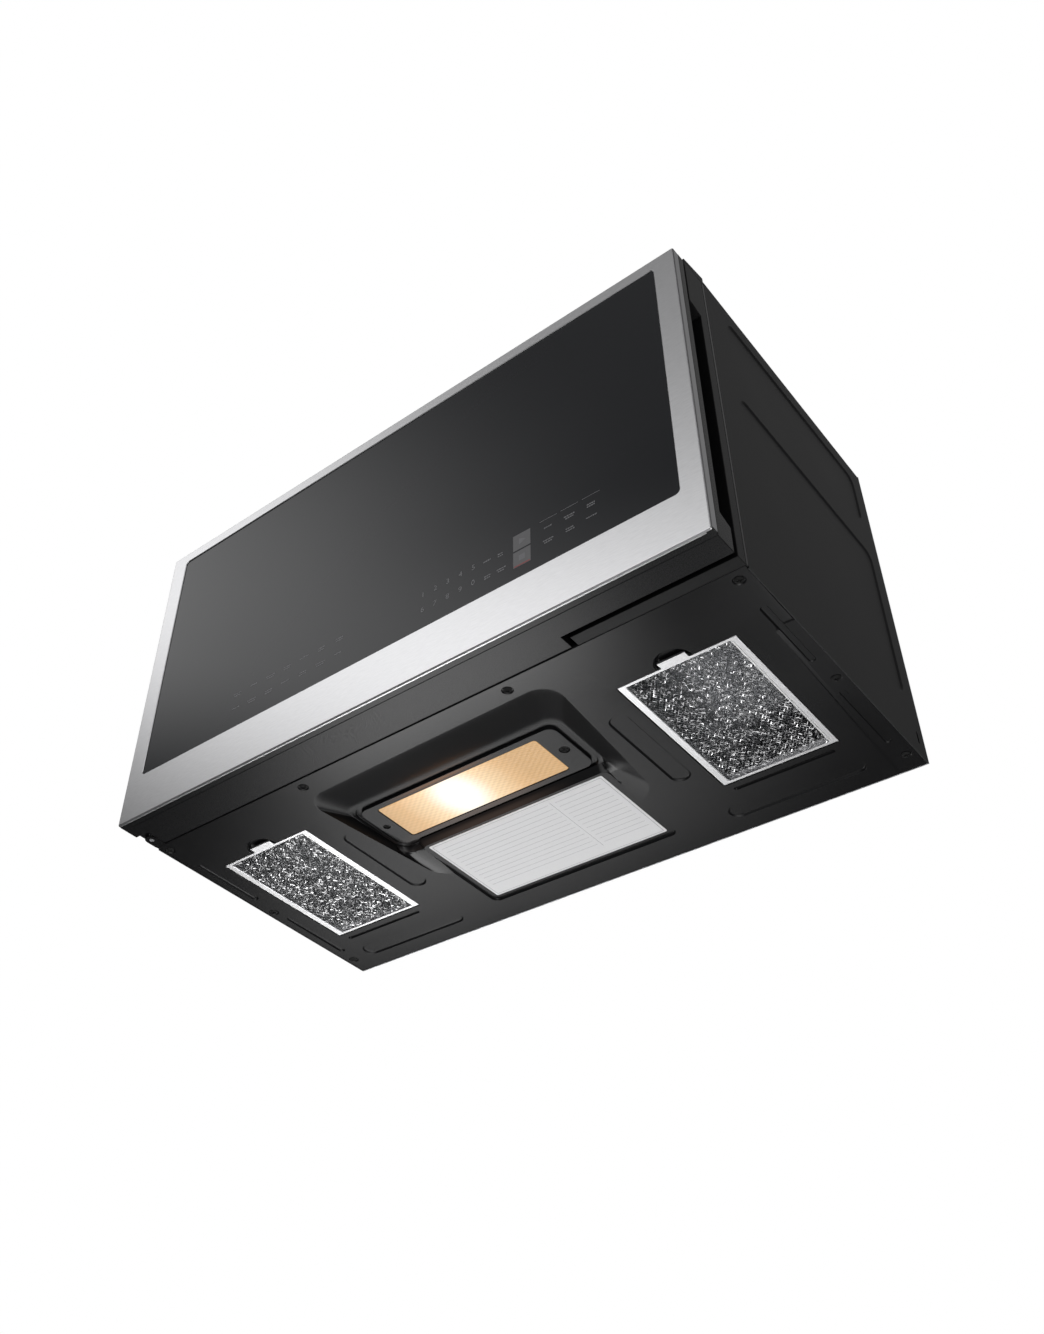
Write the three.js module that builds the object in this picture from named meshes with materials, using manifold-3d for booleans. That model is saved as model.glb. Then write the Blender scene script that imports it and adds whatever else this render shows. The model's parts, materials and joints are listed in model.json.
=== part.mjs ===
// Over-the-range microwave oven with a full-width door, built from its separate pieces.
// Millimetres. +X is to the right seen from the front, +Y goes back to the wall, +Z is up.
// Pieces are drawn with x from the middle, y back from the face of the door and z up from
// the lower edge of the door. The outer group moves the origin to the middle of the wall face.
import * as THREE from 'three';
import { mergeVertices } from 'three/addons/utils/BufferGeometryUtils.js';
import Module from 'manifold-3d';

const wasm = await Module();
wasm.setup();

// ---------------------------------------------------------------- driving sizes
const WIDTH = 759;
const DEPTH = 415;
const CASE_HEIGHT = 425.5;
const DOOR_DROP = 10.5;
const UNDERSIDE = 1;
const SHEET = 1.2;
const SEAT = 0.3;
const CORNER_STEPS = 2;
const ROUND_STEPS = 28;
const HALF = WIDTH / 2;
const DOOR_HEIGHT = CASE_HEIGHT - DOOR_DROP;

// door
const TRIM_SHEET = 1;
const TRIM_DEPTH = 10;
const TRIM_EDGE_ROUND = 1.6;
const TRIM_CORNER = 2;
const TRIM_WALL = 1.4;
const WINDOW_SIDE = 25;
const WINDOW_TOP = 16;
const WINDOW_BOTTOM = 60.7;
const WINDOW_CORNER = 5;
const GLASS_THICKNESS = 3.2;
const GLASS_LAP = 9;
const DOOR_THICKNESS = 54.5;
const DOOR_BAY_THICKNESS = 37;
const DOOR_EDGE_THICKNESS = 20;
const DOOR_FRONT_WALL = 14;
const DOOR_SIDE_WALL = 12;
const DOOR_END_WALL = 8;
const BAY_FRONT_WIDTH = 179.5;
const DOOR_SPLIT = HALF - BAY_FRONT_WIDTH;
const DOOR_BACK_ROUND = 9;
const POCKET_REACH = 42;
const POCKET_BOTTOM = 36;
const POCKET_TOP = DOOR_HEIGHT - 66;
const POCKET_SLOPE = 6;
const SIGHT_MARGIN_SIDE = 30;
const SIGHT_MARGIN_END = 36;
const CHOKE_INSET = 8;
const CHOKE_WIDTH = 18;
const CHOKE_DEPTH = 12;
const SCREEN_THICKNESS = 0.8;
const SCREEN_LAP = 6;
const BOARD_THICKNESS = 1.6;
const BOARD_HEIGHT = 26;
const BOARD_LIFT = 8;
const BOARD_IN = { left: 154.5, right: 99.5 };

// hinge
const HINGE_IN = 9;
const HINGE_FORWARD = 14;
const HINGE_PLATE = 2;
const HINGE_PLATE_RADIUS = 7.8;
const HINGE_FLANGE = 24;
const HINGE_NOTCH = 4.5;
const HINGE_PIN_RADIUS = 3;
const HINGE_PIN_LENGTH = 16;
const BUSH_RADIUS = 6;

// latch
const LATCH_X = DOOR_SPLIT - 14;
const LATCH_WIDTH = 8;
const LATCH_FRONT = 24;
const LATCH_BAR_DEPTH = 12;
const LATCH_REACH = 74;
const LATCH_TRAVEL = 5;
const HOOK_HEIGHT = 12;
const HOOK_TOOTH = 7;
const HOOK_TOOTH_LENGTH = 11;
const HOOK_IN = 125;
const HOOK_LEVELS = [HOOK_IN, DOOR_HEIGHT - HOOK_IN];
const LATCH_END = 26;
const GUIDE_LENGTH = 15;
const GUIDE_BELOW = 45;
const GUIDE_ABOVE = 30;
const SPRING_LENGTH = 34;
const SPRING_RADIUS = 3.2;
const SPRING_WIRE = 1;
const SPRING_TURNS = 6;
const SPRING_STEPS = 7;

// fixed front
const FRAME_FRONT = 57;
const FRAME_DEPTH = 4;
const BAY_PANEL_FRONT = 43;
const BAY_PANEL_GAP = 5.5;
const BAY_PANEL_WALL = 2.5;
const GRILLE_FRONT = 22.5;
const GRILLE_FRONT_HEIGHT = 4;
const GRILLE_RISE = 8.1;
const GRILLE_WALL = 1.8;
const GRILLE_SLOT = 22;
const GRILLE_BAR = 5;

// case
const CASE_BEND = 3;
const EMBOSS = 1.6;
const EMBOSS_SLOPE = 2.5;
const EMBOSS_ROUND = 14;
const EMBOSS_FRONT = 105;
const EMBOSS_BACK = DEPTH - 24;
const UPPER_EMBOSS = [CASE_HEIGHT - 98.5, CASE_HEIGHT - 23.5];
const LOWER_EMBOSS = [73, CASE_HEIGHT - 149.5];
const EXHAUST_WIDTH = 262;
const EXHAUST_DEPTH = 86;
const EXHAUST_CENTRE = DEPTH - 65;
const CORD_HOLE_RADIUS = 14;
const BOLT_SPREAD = HALF - 90;
const BOLT_BACK = 50;
const BOLT_RADIUS = 6;
const BACK_VENT = { count: 5, width: 13, pitch: 26, start: 46, below: 30, above: 10 };

// underside
const FILTER_WIDTH = 128;
const FILTER_LENGTH = DEPTH - 218;
const FILTER_THICKNESS = 8;
const FILTER_RAIL = 8;
const FILTER_END_RAIL = 3.5;
const FILTER_SKIN = 0.9;
const FILTER_PAD = 3;
const FILTER_FRONT = 131.5;
const FILTER_PLACES = { left: 101.5 - HALF, right: HALF - 117.5 };
const FILTER_CLEARANCE = 0.8;
const FILTER_LEDGE = 5;
const TAB_WIDTH = 30;
const TAB_LENGTH = 8;
const TAB_LIP = 2.5;
const DIMPLE_RADIUS = 19;
const DIMPLE_DEPTH = 5.5;
const BOWL = { front: 93, back: DEPTH - 115, frontSpan: [-172, 152], backSpan: [-146, 127], round: 30 };
const BOWL_FLOOR_SPAN = [-166, 124];
const BOWL_FLOOR = {
  front: 134, back: DEPTH - 179, frontSpan: BOWL_FLOOR_SPAN, backSpan: BOWL_FLOOR_SPAN, round: 14,
};
const BOWL_DEPTH = 10.5;
const KEYHOLES = { places: [-250, -90, 90, 250], z: 62, height: 8, half: 12, entry: 8 };
const LABEL = { x: -11, y: DEPTH / 2 + 97.5, width: 248, length: DEPTH - 273, depth: 3, round: 8 };
const LAMP = { x: -21, y: 186, width: 272, length: 79, round: 10 };
const LAMP_GROOVE = 4;
const LAMP_POCKET = 2;
const LENS = { x: -26, y: 190, width: 212, length: 60.5, round: 3 };
const LENS_LAP = 3;
const LENS_FLANGE = 1.5;
const LENS_RIBS = 12;
const REFLECTOR_HEIGHT = 24;
const BULB_RADIUS = 6;
const BULB_BASE_RADIUS = 7.5;
const LAMP_SCREW_IN = 12;
const LAMP_SCREW_RADIUS = 2.2;
const SIDE_PILL = { width: 21, length: DEPTH - 285, y: DEPTH / 2 + 23.5, places: [198 - HALF, HALF - 208] };
const REAR_PILL = { width: 153, length: 22, y: DEPTH - 38, places: [114 - HALF, HALF - 126.5] };
const REAR_SLOT = { width: 112, length: 4.5, y: DEPTH - 75, places: [99.5 - HALF, HALF - 120] };
const EDGE_RIB = { x: HALF - 15.5, width: 7, spans: [[112, DEPTH - 209], [DEPTH - 155, DEPTH - 55]] };
const PILL_DEPTH = 1.6;

// oven cavity
const CAVITY_SIDE = 22.5;
const BAY_WIDTH = 214.5;
const BLOWER_SPACE = 95.5;
const CAVITY_DEPTH = DEPTH - 71;
const CAVITY_FLOOR = 62;
const CAVITY_WALL = 1;
const CAVITY_ROUND = 10;
const PORT_Y = DEPTH - 165;
const PORT_Z = 215;
const PORT_LENGTH = 110;
const PORT_HEIGHT = 76;
const VENT_HOLE = 3;
const VENT_PITCH = 12;
const VENT_ROWS = 2;
const VENT_COLUMNS = 4;
const VENT_START = 50;
const VENT_DROP = 42;

// turntable
const TRAY_RADIUS = (CAVITY_DEPTH - 19) / 2;
const TRAY_THICKNESS = 5;
const TRAY_RIM = 12;
const ROLLER_RADIUS = 8;
const ROLLER_WIDTH = 7;
const ROLLER_CIRCLE = TRAY_RADIUS - 46.5;
const ROLLER_COUNT = 3;
const RING_OUTER = ROLLER_CIRCLE - 7;
const RING_INNER = RING_OUTER - 6;
const RING_HEIGHT = 6;
const AXLE_RADIUS = 2;
const COUPLER_LOBE = 15;
const COUPLER_HEIGHT = 10;
const STEM_RADIUS = 4;
const STEM_HOLE = 7;
const STEM_LENGTH = 12;
const MOTOR_RADIUS = 25;
const MOTOR_HEIGHT = 17;

// machinery bay
const DECK_HEIGHT = 44;
const MAGNETRON_Y = DEPTH - 125;
const GUIDE_HEIGHT = 96;
const GUIDE_FRONT = DEPTH - 233;
const GUIDE_BACK = DEPTH - 85;
const GUIDE_DEPTH = 40;
const GUIDE_FLANGE = 8;
const ANTENNA_RADIUS = 9;
const FAN_X = HALF - 94.5;
const FAN_Z = 225;
const FAN_RADIUS = 50;
const FAN_PLATE_Y = DEPTH - 49;
const FAN_BLADES = 5;
const BLOWER_Y = DEPTH - 77;
const BLOWER_WHEEL_RADIUS = 38;
const BLOWER_WHEEL_WIDTH = 66;
const BLOWER_BLADES = 12;
const BLOWER_ROUND = 20;
const BLOWER_SHELL = 1.5;
const BLOWER_SCROLL = 44.5;
const BLOWER_SCROLL_WIDTH = 78;
const BLOWER_MOTOR_LENGTH = 84;
const BLOWER_MOTOR_RADIUS = 32;
const BLOWER_X = 0;
const BLOWER_SHAFT = 4;
const CHARCOAL = { half: 170, depth: 12, rim: 6, recess: 2, back: 4 };
const TRANSFORMER = {
  width: 92, depth: 62, height: 76, limb: 16, slot: 14, coil: 22, coilGap: 4, coilRound: 10, coilOver: 15,
  foot: 8, footSheet: 2, x: 60, y: 50,
};
const CAPACITOR = {
  width: 34, length: 54, height: 92, round: 16, terminal: 12, terminalWidth: 6.4, terminalSheet: 1,
  spread: 10, strap: 2, strapFrom: 30, strapTo: 46, foot: 30, footWidth: 16, x: 40, y: 190,
};
const MAGNETRON = {
  half: 42, height: 92, anode: 19, yoke: 62, yokeHeight: 68, yokeWall: 2, fin: 1, fins: 5, finStart: 14,
  finPitch: 9, finHalf: 34, finHeight: 62, box: 31, boxHalf: 26, boxHeight: 60, plug: 18, plugReach: 18,
  plugHeight: 24, antennaReach: 22,
};
const CONTROL = {
  width: 150, height: 120, stand: 8, sheet: 1.6, post: 3, postIn: 8, relay: [20, 17, 26], relayPitch: 26,
  relayIn: 12, relayLift: 14, supply: [38, 32, 34], supplyIn: 12, supplyLift: 18, can: 6, canHeight: 21,
  canPitch: 22, canIn: 20, canLift: 70, header: [100, 9, 8], headerIn: 20, headerDrop: 14,
};
const BRACKET = { wall: 2, side: 5, depth: 42, over: 30, ear: 11, earHalf: 8 };
const SWITCH = { depth: 16, height: 28, lever: 9, leverHalf: 2.5, blade: 5.5, bladeHalf: 3, bladeSheet: 1 };
const FAN_MOTOR = {
  half: 32, high: 30, stack: 18, windowHalf: 18, windowLow: 24, windowHigh: 8, bearing: 9, shaft: 1.8,
};

// ---------------------------------------------------------------- derived places
const GLASS_FRONT = TRIM_SHEET + SEAT;
const GLASS_BACK = GLASS_FRONT + GLASS_THICKNESS;
const FRAME_BACK = FRAME_FRONT + FRAME_DEPTH;
const CASE_FRONT = FRAME_BACK + SEAT;
const BACK_FRONT = DEPTH - SHEET;
const CASE_BACK = BACK_FRONT - SEAT;
const BASE_TOP = UNDERSIDE + SHEET;
const CORD_PLACE = [HALF - 70, DEPTH - 60];
const FRAME_TOP = DOOR_HEIGHT + 1.7;
const BAY_START = DOOR_SPLIT + BAY_PANEL_GAP;
const HINGE_X = -HALF + HINGE_IN;
const HINGE_Y = FRAME_FRONT - HINGE_FORWARD;
const CAVITY_LEFT = -HALF + CAVITY_SIDE;
const CAVITY_RIGHT = HALF - BAY_WIDTH;
const CAVITY_X = (CAVITY_LEFT + CAVITY_RIGHT) / 2;
const CAVITY_TOP = CASE_HEIGHT - BLOWER_SPACE;
const CAVITY_FRONT = FRAME_FRONT + SHEET + SEAT;
const CAVITY_BACK = CAVITY_FRONT + CAVITY_DEPTH;
const CAVITY_MIDDLE_Y = CAVITY_FRONT + CAVITY_DEPTH / 2;
const TRAY_BOTTOM = CAVITY_FLOOR + 2 * ROLLER_RADIUS + 2 * SEAT;
const RING_MIDDLE = CAVITY_FLOOR + SEAT + ROLLER_RADIUS;
const DECK_TOP = DECK_HEIGHT + SHEET;
const BAY_LEFT = CAVITY_RIGHT + CAVITY_WALL + SEAT;
const BAY_RIGHT = HALF - SHEET - SEAT;
const GUIDE_OUTER = BAY_LEFT + GUIDE_DEPTH;
const CASE_CEILING = CASE_HEIGHT - SHEET;
const BLOWER_Z = CAVITY_TOP + CAVITY_WALL + SEAT + SHEET / 2 + BLOWER_SCROLL;
const WHEEL_OFFSET = (BLOWER_MOTOR_LENGTH + BLOWER_SCROLL_WIDTH) / 2 + 6;
const LAMP_LEVEL = UNDERSIDE + BOWL_DEPTH - 1.5;
const POCKET_CEILING = UNDERSIDE + BOWL_DEPTH + LAMP_POCKET;
const BULB_LEVEL = POCKET_CEILING + SHEET + REFLECTOR_HEIGHT / 2;
const FILTER_BOTTOM = UNDERSIDE + 0.5;
const FILTER_TOP = FILTER_BOTTOM + FILTER_THICKNESS;
const FILTER_MIDDLE_Y = FILTER_FRONT + FILTER_LENGTH / 2;

// ---------------------------------------------------------------- finishes
const finish = (color, roughness, metalness) => (
  new THREE.MeshStandardMaterial({ color, roughness, metalness }));
const STAINLESS = finish(0xb9babb, 0.32, 1);
const BLACK_PAINT = finish(0x2d2d2f, 0.45, 0.2);
const BLACK_PLASTIC = finish(0x1d1d1f, 0.5, 0);
const DARK_GLASS = finish(0x2b2d31, 0.08, 0);
const CLEAR_GLASS = finish(0xdfe9e6, 0.05, 0);
const AMBER_GLASS = finish(0xe2b06a, 0.25, 0);
const ENAMEL = finish(0x9b9da0, 0.35, 0.1);
const ZINC = finish(0xa9abad, 0.4, 1);
const ALUMINIUM = finish(0xd0d2d4, 0.35, 1);
const WHITE_PLASTIC = finish(0xe8e6df, 0.5, 0);
const COPPER = finish(0xa8623a, 0.4, 0.8);
const BOARD = finish(0x1f5a3a, 0.55, 0);
const MICA = finish(0xb8a888, 0.6, 0);
const CARBON = finish(0x141414, 0.9, 0);

// ---------------------------------------------------------------- solid helpers
const axes = (...columns) => new THREE.Matrix4().makeBasis(...columns.map((c) => new THREE.Vector3(...c)));
const AXES = {
  x: axes([0, 1, 0], [0, 0, 1], [1, 0, 0]),
  y: axes([1, 0, 0], [0, 0, 1], [0, -1, 0]),
  z: axes([1, 0, 0], [0, 1, 0], [0, 0, 1]),
};

function solid(geometry) {
  const bare = geometry.clone();
  for (const name of ['normal', 'uv']) bare.deleteAttribute(name);
  const merged = mergeVertices(bare, 1e-4);
  return new wasm.Manifold(new wasm.Mesh({
    numProp: 3,
    vertProperties: new Float32Array(merged.attributes.position.array),
    triVerts: new Uint32Array(merged.index.array),
  }));
}

function geometryOf(shape) {
  const mesh = shape.getMesh();
  const geometry = new THREE.BufferGeometry();
  const points = new Float32Array((mesh.vertProperties.length / mesh.numProp) * 3);
  for (let i = 0; i < points.length / 3; i++) {
    for (let k = 0; k < 3; k++) points[3 * i + k] = mesh.vertProperties[mesh.numProp * i + k];
  }
  geometry.setAttribute('position', new THREE.BufferAttribute(points, 3));
  geometry.setIndex(new THREE.BufferAttribute(new Uint32Array(mesh.triVerts), 1));
  geometry.computeVertexNormals();
  return geometry;
}

function block([x0, x1], [y0, y1], [z0, z1]) {
  const box = new THREE.BoxGeometry(x1 - x0, y1 - y0, z1 - z0);
  return solid(box.translate((x0 + x1) / 2, (y0 + y1) / 2, (z0 + z1) / 2));
}

// An outline drawn across the axis, carried from one place on the axis to another.
// Across x the outline is (y, z), across y it is (x, z), across z it is (x, y).
function prism(shape, axis, [from, to], steps = CORNER_STEPS) {
  const settings = { depth: to - from, bevelEnabled: false, curveSegments: steps };
  const extruded = new THREE.ExtrudeGeometry(shape, settings);
  extruded.translate(0, 0, axis === 'y' ? -to : from);
  return solid(extruded.applyMatrix4(AXES[axis]));
}

function roundedRect(x, y, width, height, round) {
  const shape = new THREE.Shape();
  const [right, top] = [x + width / 2, y + height / 2];
  const [left, bottom] = [x - width / 2, y - height / 2];
  if (!(round > 0)) return polygon([[left, bottom], [right, bottom], [right, top], [left, top]]);
  shape.absarc(right - round, bottom + round, round, -Math.PI / 2, 0);
  shape.absarc(right - round, top - round, round, 0, Math.PI / 2);
  shape.absarc(left + round, top - round, round, Math.PI / 2, Math.PI);
  shape.absarc(left + round, bottom + round, round, Math.PI, 1.5 * Math.PI);
  return shape;
}

function between([x0, x1], [y0, y1], round = 0) {
  return roundedRect((x0 + x1) / 2, (y0 + y1) / 2, x1 - x0, y1 - y0, round);
}

function polygon(points) {
  return new THREE.Shape(points.map(([x, y]) => new THREE.Vector2(x, y)));
}

function rod(axis, [u, v], radius, span, steps = ROUND_STEPS) {
  const circle = new THREE.Shape();
  circle.absarc(u, v, radius, 0, 2 * Math.PI);
  return prism(circle, axis, span, steps / 2);
}

function tube(axis, centre, outer, inner, span, steps = ROUND_STEPS) {
  const [from, to] = span;
  return rod(axis, centre, outer, span, steps).subtract(rod(axis, centre, inner, [from - 1, to + 1], steps));
}

// A hollow or a boss whose rounded outline changes in size from one height to another.
function loft(low, lowZ, high, highZ, steps = CORNER_STEPS) {
  const rings = [low, high].map((outline) => outline.getPoints(steps));
  const count = rings[0].length;
  const positions = [];
  rings.forEach((ring, level) => ring.forEach((p) => positions.push(p.x, p.y, level ? highZ : lowZ)));
  const faces = [];
  for (let i = 0; i < count; i++) {
    const j = (i + 1) % count;
    faces.push(i, j, count + j, i, count + j, count + i);
  }
  const caps = rings.map((ring) => THREE.ShapeUtils.triangulateShape(ring, []));
  caps[0].forEach(([a, b, c]) => faces.push(a, c, b));
  caps[1].forEach(([a, b, c]) => faces.push(count + a, count + b, count + c));
  const geometry = new THREE.BufferGeometry();
  geometry.setAttribute('position', new THREE.Float32BufferAttribute(positions, 3));
  geometry.setIndex(faces);
  return solid(geometry);
}

// A turned piece: the profile is (radius, height) round the z axis.
function turned(profile, steps = ROUND_STEPS) {
  const lathe = new THREE.LatheGeometry(profile.map(([r, h]) => new THREE.Vector2(r, h)), steps);
  return solid(lathe.rotateX(Math.PI / 2));
}

const union = (...shapes) => shapes.reduce((sum, shape) => sum.add(shape));
const less = (shape, ...cuts) => cuts.reduce((rest, cut) => rest.subtract(cut), shape);

function piece(group, name, shape, material, place = [0, 0, 0]) {
  const mesh = new THREE.Mesh(geometryOf(shape), material);
  mesh.name = name;
  mesh.position.set(...place);
  group.add(mesh);
  return mesh;
}

// ---------------------------------------------------------------- door
function doorTrim() {
  const inset = 2 * TRIM_EDGE_ROUND;
  const face = new THREE.ExtrudeGeometry(
    roundedRect(0, DOOR_HEIGHT / 2, WIDTH - inset, DOOR_HEIGHT - inset, TRIM_CORNER), {
      depth: 2 * TRIM_DEPTH, bevelThickness: TRIM_EDGE_ROUND, bevelSize: TRIM_EDGE_ROUND, bevelSegments: 2,
      curveSegments: 2,
    });
  face.translate(0, 0, -2 * TRIM_DEPTH - TRIM_EDGE_ROUND);
  const shell = solid(face.applyMatrix4(AXES.y)).subtract(
    block([-WIDTH, WIDTH], [TRIM_DEPTH, 3 * TRIM_DEPTH], [-DOOR_HEIGHT, 2 * DOOR_HEIGHT]));
  const inside = block([-HALF + TRIM_WALL, HALF - TRIM_WALL], [TRIM_SHEET, 2 * TRIM_DEPTH],
    [TRIM_WALL, DOOR_HEIGHT - TRIM_WALL]);
  return less(shell, inside, prism(windowOutline(0), 'y', [-1, TRIM_DEPTH]));
}

function windowOutline(lap) {
  return between([-HALF + WINDOW_SIDE - lap, HALF - WINDOW_SIDE + lap],
    [WINDOW_BOTTOM - lap, DOOR_HEIGHT - WINDOW_TOP + lap], WINDOW_CORNER);
}

function doorGlass() {
  return prism(windowOutline(GLASS_LAP), 'y', [GLASS_FRONT, GLASS_BACK]);
}

function sightSpan(lap) {
  return [
    [CAVITY_LEFT + SIGHT_MARGIN_SIDE - lap, CAVITY_RIGHT - SIGHT_MARGIN_SIDE + lap],
    [CAVITY_FLOOR + SIGHT_MARGIN_END - lap, CAVITY_TOP - SIGHT_MARGIN_END + lap],
  ];
}

function doorHollow(clearance) {
  return [[-HALF + DOOR_SIDE_WALL + clearance, DOOR_SPLIT - DOOR_SIDE_WALL / 2 - clearance],
    [DOOR_END_WALL + clearance, DOOR_HEIGHT - DOOR_END_WALL - clearance]];
}

function doorBody() {
  const inset = TRIM_WALL + SEAT;
  const seat = GLASS_BACK + SEAT;
  const step = TRIM_DEPTH + SEAT;
  const front = block([-HALF + inset, HALF - inset], [seat, step], [inset, DOOR_HEIGHT - inset]);
  const back = prism(backOutline(), 'z', [0, DOOR_HEIGHT]);
  const pocket = polygon([
    [DOOR_EDGE_THICKNESS, POCKET_BOTTOM], [DOOR_THICKNESS, POCKET_BOTTOM - 2 * POCKET_SLOPE],
    [DOOR_THICKNESS, 2 * DOOR_HEIGHT], [DOOR_EDGE_THICKNESS, 2 * DOOR_HEIGHT]]);
  const [hollowX, hollowZ] = doorHollow(0);
  const [sightX, sightZ] = sightSpan(SCREEN_LAP);
  const body = less(union(front, back),
    prism(pocket, 'x', [HALF - POCKET_REACH, WIDTH]),
    block(hollowX, [DOOR_FRONT_WALL, WIDTH], hollowZ),
    block([hollowX[1] - 1, HALF - POCKET_REACH - 4], [DOOR_FRONT_WALL, DOOR_BAY_THICKNESS - 3], hollowZ),
    block(sightX, [0, DOOR_FRONT_WALL + 1], sightZ),
    ...[[-1, HINGE_NOTCH], [DOOR_HEIGHT - HINGE_NOTCH, DOOR_HEIGHT + 1]].map((span) => hingeNotch(span)),
    ...bushSpans().map((span) => rod('z', [HINGE_X, HINGE_Y], BUSH_RADIUS + SEAT, span, 16)));
  return union(body, ...latchGuides(), springPost());
}

// Plan of the deep part of the door: full depth on the oven side, stepped down before the bay.
function backOutline() {
  const start = TRIM_DEPTH + SEAT - 0.1;
  const round = DOOR_BACK_ROUND;
  const shape = new THREE.Shape();
  shape.moveTo(-HALF, start);
  shape.lineTo(HALF, start);
  shape.lineTo(HALF, DOOR_BAY_THICKNESS);
  shape.lineTo(DOOR_SPLIT, DOOR_BAY_THICKNESS);
  shape.lineTo(DOOR_SPLIT, DOOR_THICKNESS);
  shape.lineTo(-HALF + round, DOOR_THICKNESS);
  shape.absarc(-HALF + round, DOOR_THICKNESS - round, round, Math.PI / 2, Math.PI);
  return shape;
}

function hingeNotch(span) {
  const reach = HINGE_FORWARD + 1;
  return block([-HALF - 1, HINGE_X + HINGE_PLATE_RADIUS + 2], [HINGE_Y - reach, DOOR_THICKNESS + 1], span);
}

function bushSpans() {
  const length = HINGE_PIN_LENGTH;
  return [[0, length + HINGE_NOTCH], [DOOR_HEIGHT - HINGE_NOTCH - length, DOOR_HEIGHT]];
}

function latchGuides() {
  const half = LATCH_WIDTH / 2 + SEAT;
  const wall = 3;
  const middle = (HOOK_LEVELS[0] + HOOK_LEVELS[1]) / 2;
  return [middle - GUIDE_BELOW, middle + GUIDE_ABOVE].map((z) => less(
    block([LATCH_X - half - wall, DOOR_SPLIT - 1], [DOOR_FRONT_WALL - 1, LATCH_FRONT + LATCH_BAR_DEPTH],
      [z, z + GUIDE_LENGTH]),
    block([LATCH_X - half, LATCH_X + half], [LATCH_FRONT - SEAT, DOOR_THICKNESS],
      [z - 1, z + GUIDE_LENGTH + 1])));
}

function springLevel() {
  return HOOK_LEVELS[0] - LATCH_END - SPRING_LENGTH;
}

function springPost() {
  const z = springLevel() - SEAT;
  const y = LATCH_FRONT + LATCH_BAR_DEPTH / 2;
  return block([LATCH_X - SPRING_RADIUS, DOOR_SPLIT - 1], [DOOR_FRONT_WALL - 1, y + SPRING_RADIUS],
    [z - 4, z]);
}

function innerPanel() {
  const [spanX, spanZ] = doorHollow(SEAT);
  const back = DOOR_THICKNESS - SEAT;
  const front = back - SHEET;
  const [sightX, sightZ] = sightSpan(0);
  const choke = [CHOKE_INSET, CHOKE_INSET + CHOKE_WIDTH].map((lap) => {
    const [outerX, outerZ] = sightSpan(lap);
    const [innerX, innerZ] = sightSpan(lap - SHEET);
    return block(outerX, [front - CHOKE_DEPTH, front + SHEET / 2], outerZ)
      .subtract(block(innerX, [front - CHOKE_DEPTH - 1, front + 1], innerZ));
  });
  const slots = HOOK_LEVELS.map((z) => hookSlot(z, [front - 1, back + 1]));
  return less(union(block(spanX, [front, back], spanZ), ...choke),
    block(sightX, [front - 1, back + 1], sightZ), ...slots);
}

// The slot a hook goes through, tall enough for its tooth and for the lift of the latch.
function hookSlot(level, spanY) {
  const half = LATCH_WIDTH / 2 + 1.5;
  const bottom = level - HOOK_HEIGHT / 2 - HOOK_TOOTH - 1;
  const top = level + HOOK_HEIGHT / 2 + LATCH_TRAVEL + 1;
  return block([LATCH_X - half, LATCH_X + half], spanY, [bottom, top]);
}

function latchBar() {
  const half = LATCH_WIDTH / 2;
  const spanX = [LATCH_X - half, LATCH_X + half];
  const barBack = LATCH_FRONT + LATCH_BAR_DEPTH;
  const ends = [HOOK_LEVELS[0] - LATCH_END, HOOK_LEVELS[1] + LATCH_END];
  const bar = block(spanX, [LATCH_FRONT, barBack], ends);
  const hooks = HOOK_LEVELS.map((z) => {
    const low = z - HOOK_HEIGHT / 2;
    const tip = LATCH_REACH - HOOK_TOOTH_LENGTH;
    const side = polygon([[barBack - 1, low], [tip, low], [tip + 3, low - HOOK_TOOTH],
      [LATCH_REACH - 4, low - HOOK_TOOTH], [LATCH_REACH, low], [LATCH_REACH - 2, low + HOOK_HEIGHT],
      [barBack - 1, low + HOOK_HEIGHT]]);
    return prism(side, 'x', spanX);
  });
  return union(bar, ...hooks);
}

class Helix extends THREE.Curve {
  getPoint(t) {
    const angle = 2 * Math.PI * SPRING_TURNS * t;
    return new THREE.Vector3(SPRING_RADIUS * Math.cos(angle), SPRING_RADIUS * Math.sin(angle),
      SPRING_WIRE / 2 + (SPRING_LENGTH - SPRING_WIRE - SEAT) * t);
  }
}

function latchSpring() {
  const wire = new THREE.Shape();
  wire.absarc(0, 0, SPRING_WIRE / 2, 0, 2 * Math.PI);
  return solid(new THREE.ExtrudeGeometry(wire, {
    extrudePath: new Helix(), steps: SPRING_STEPS * SPRING_TURNS, curveSegments: 2, bevelEnabled: false,
  }));
}

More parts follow.
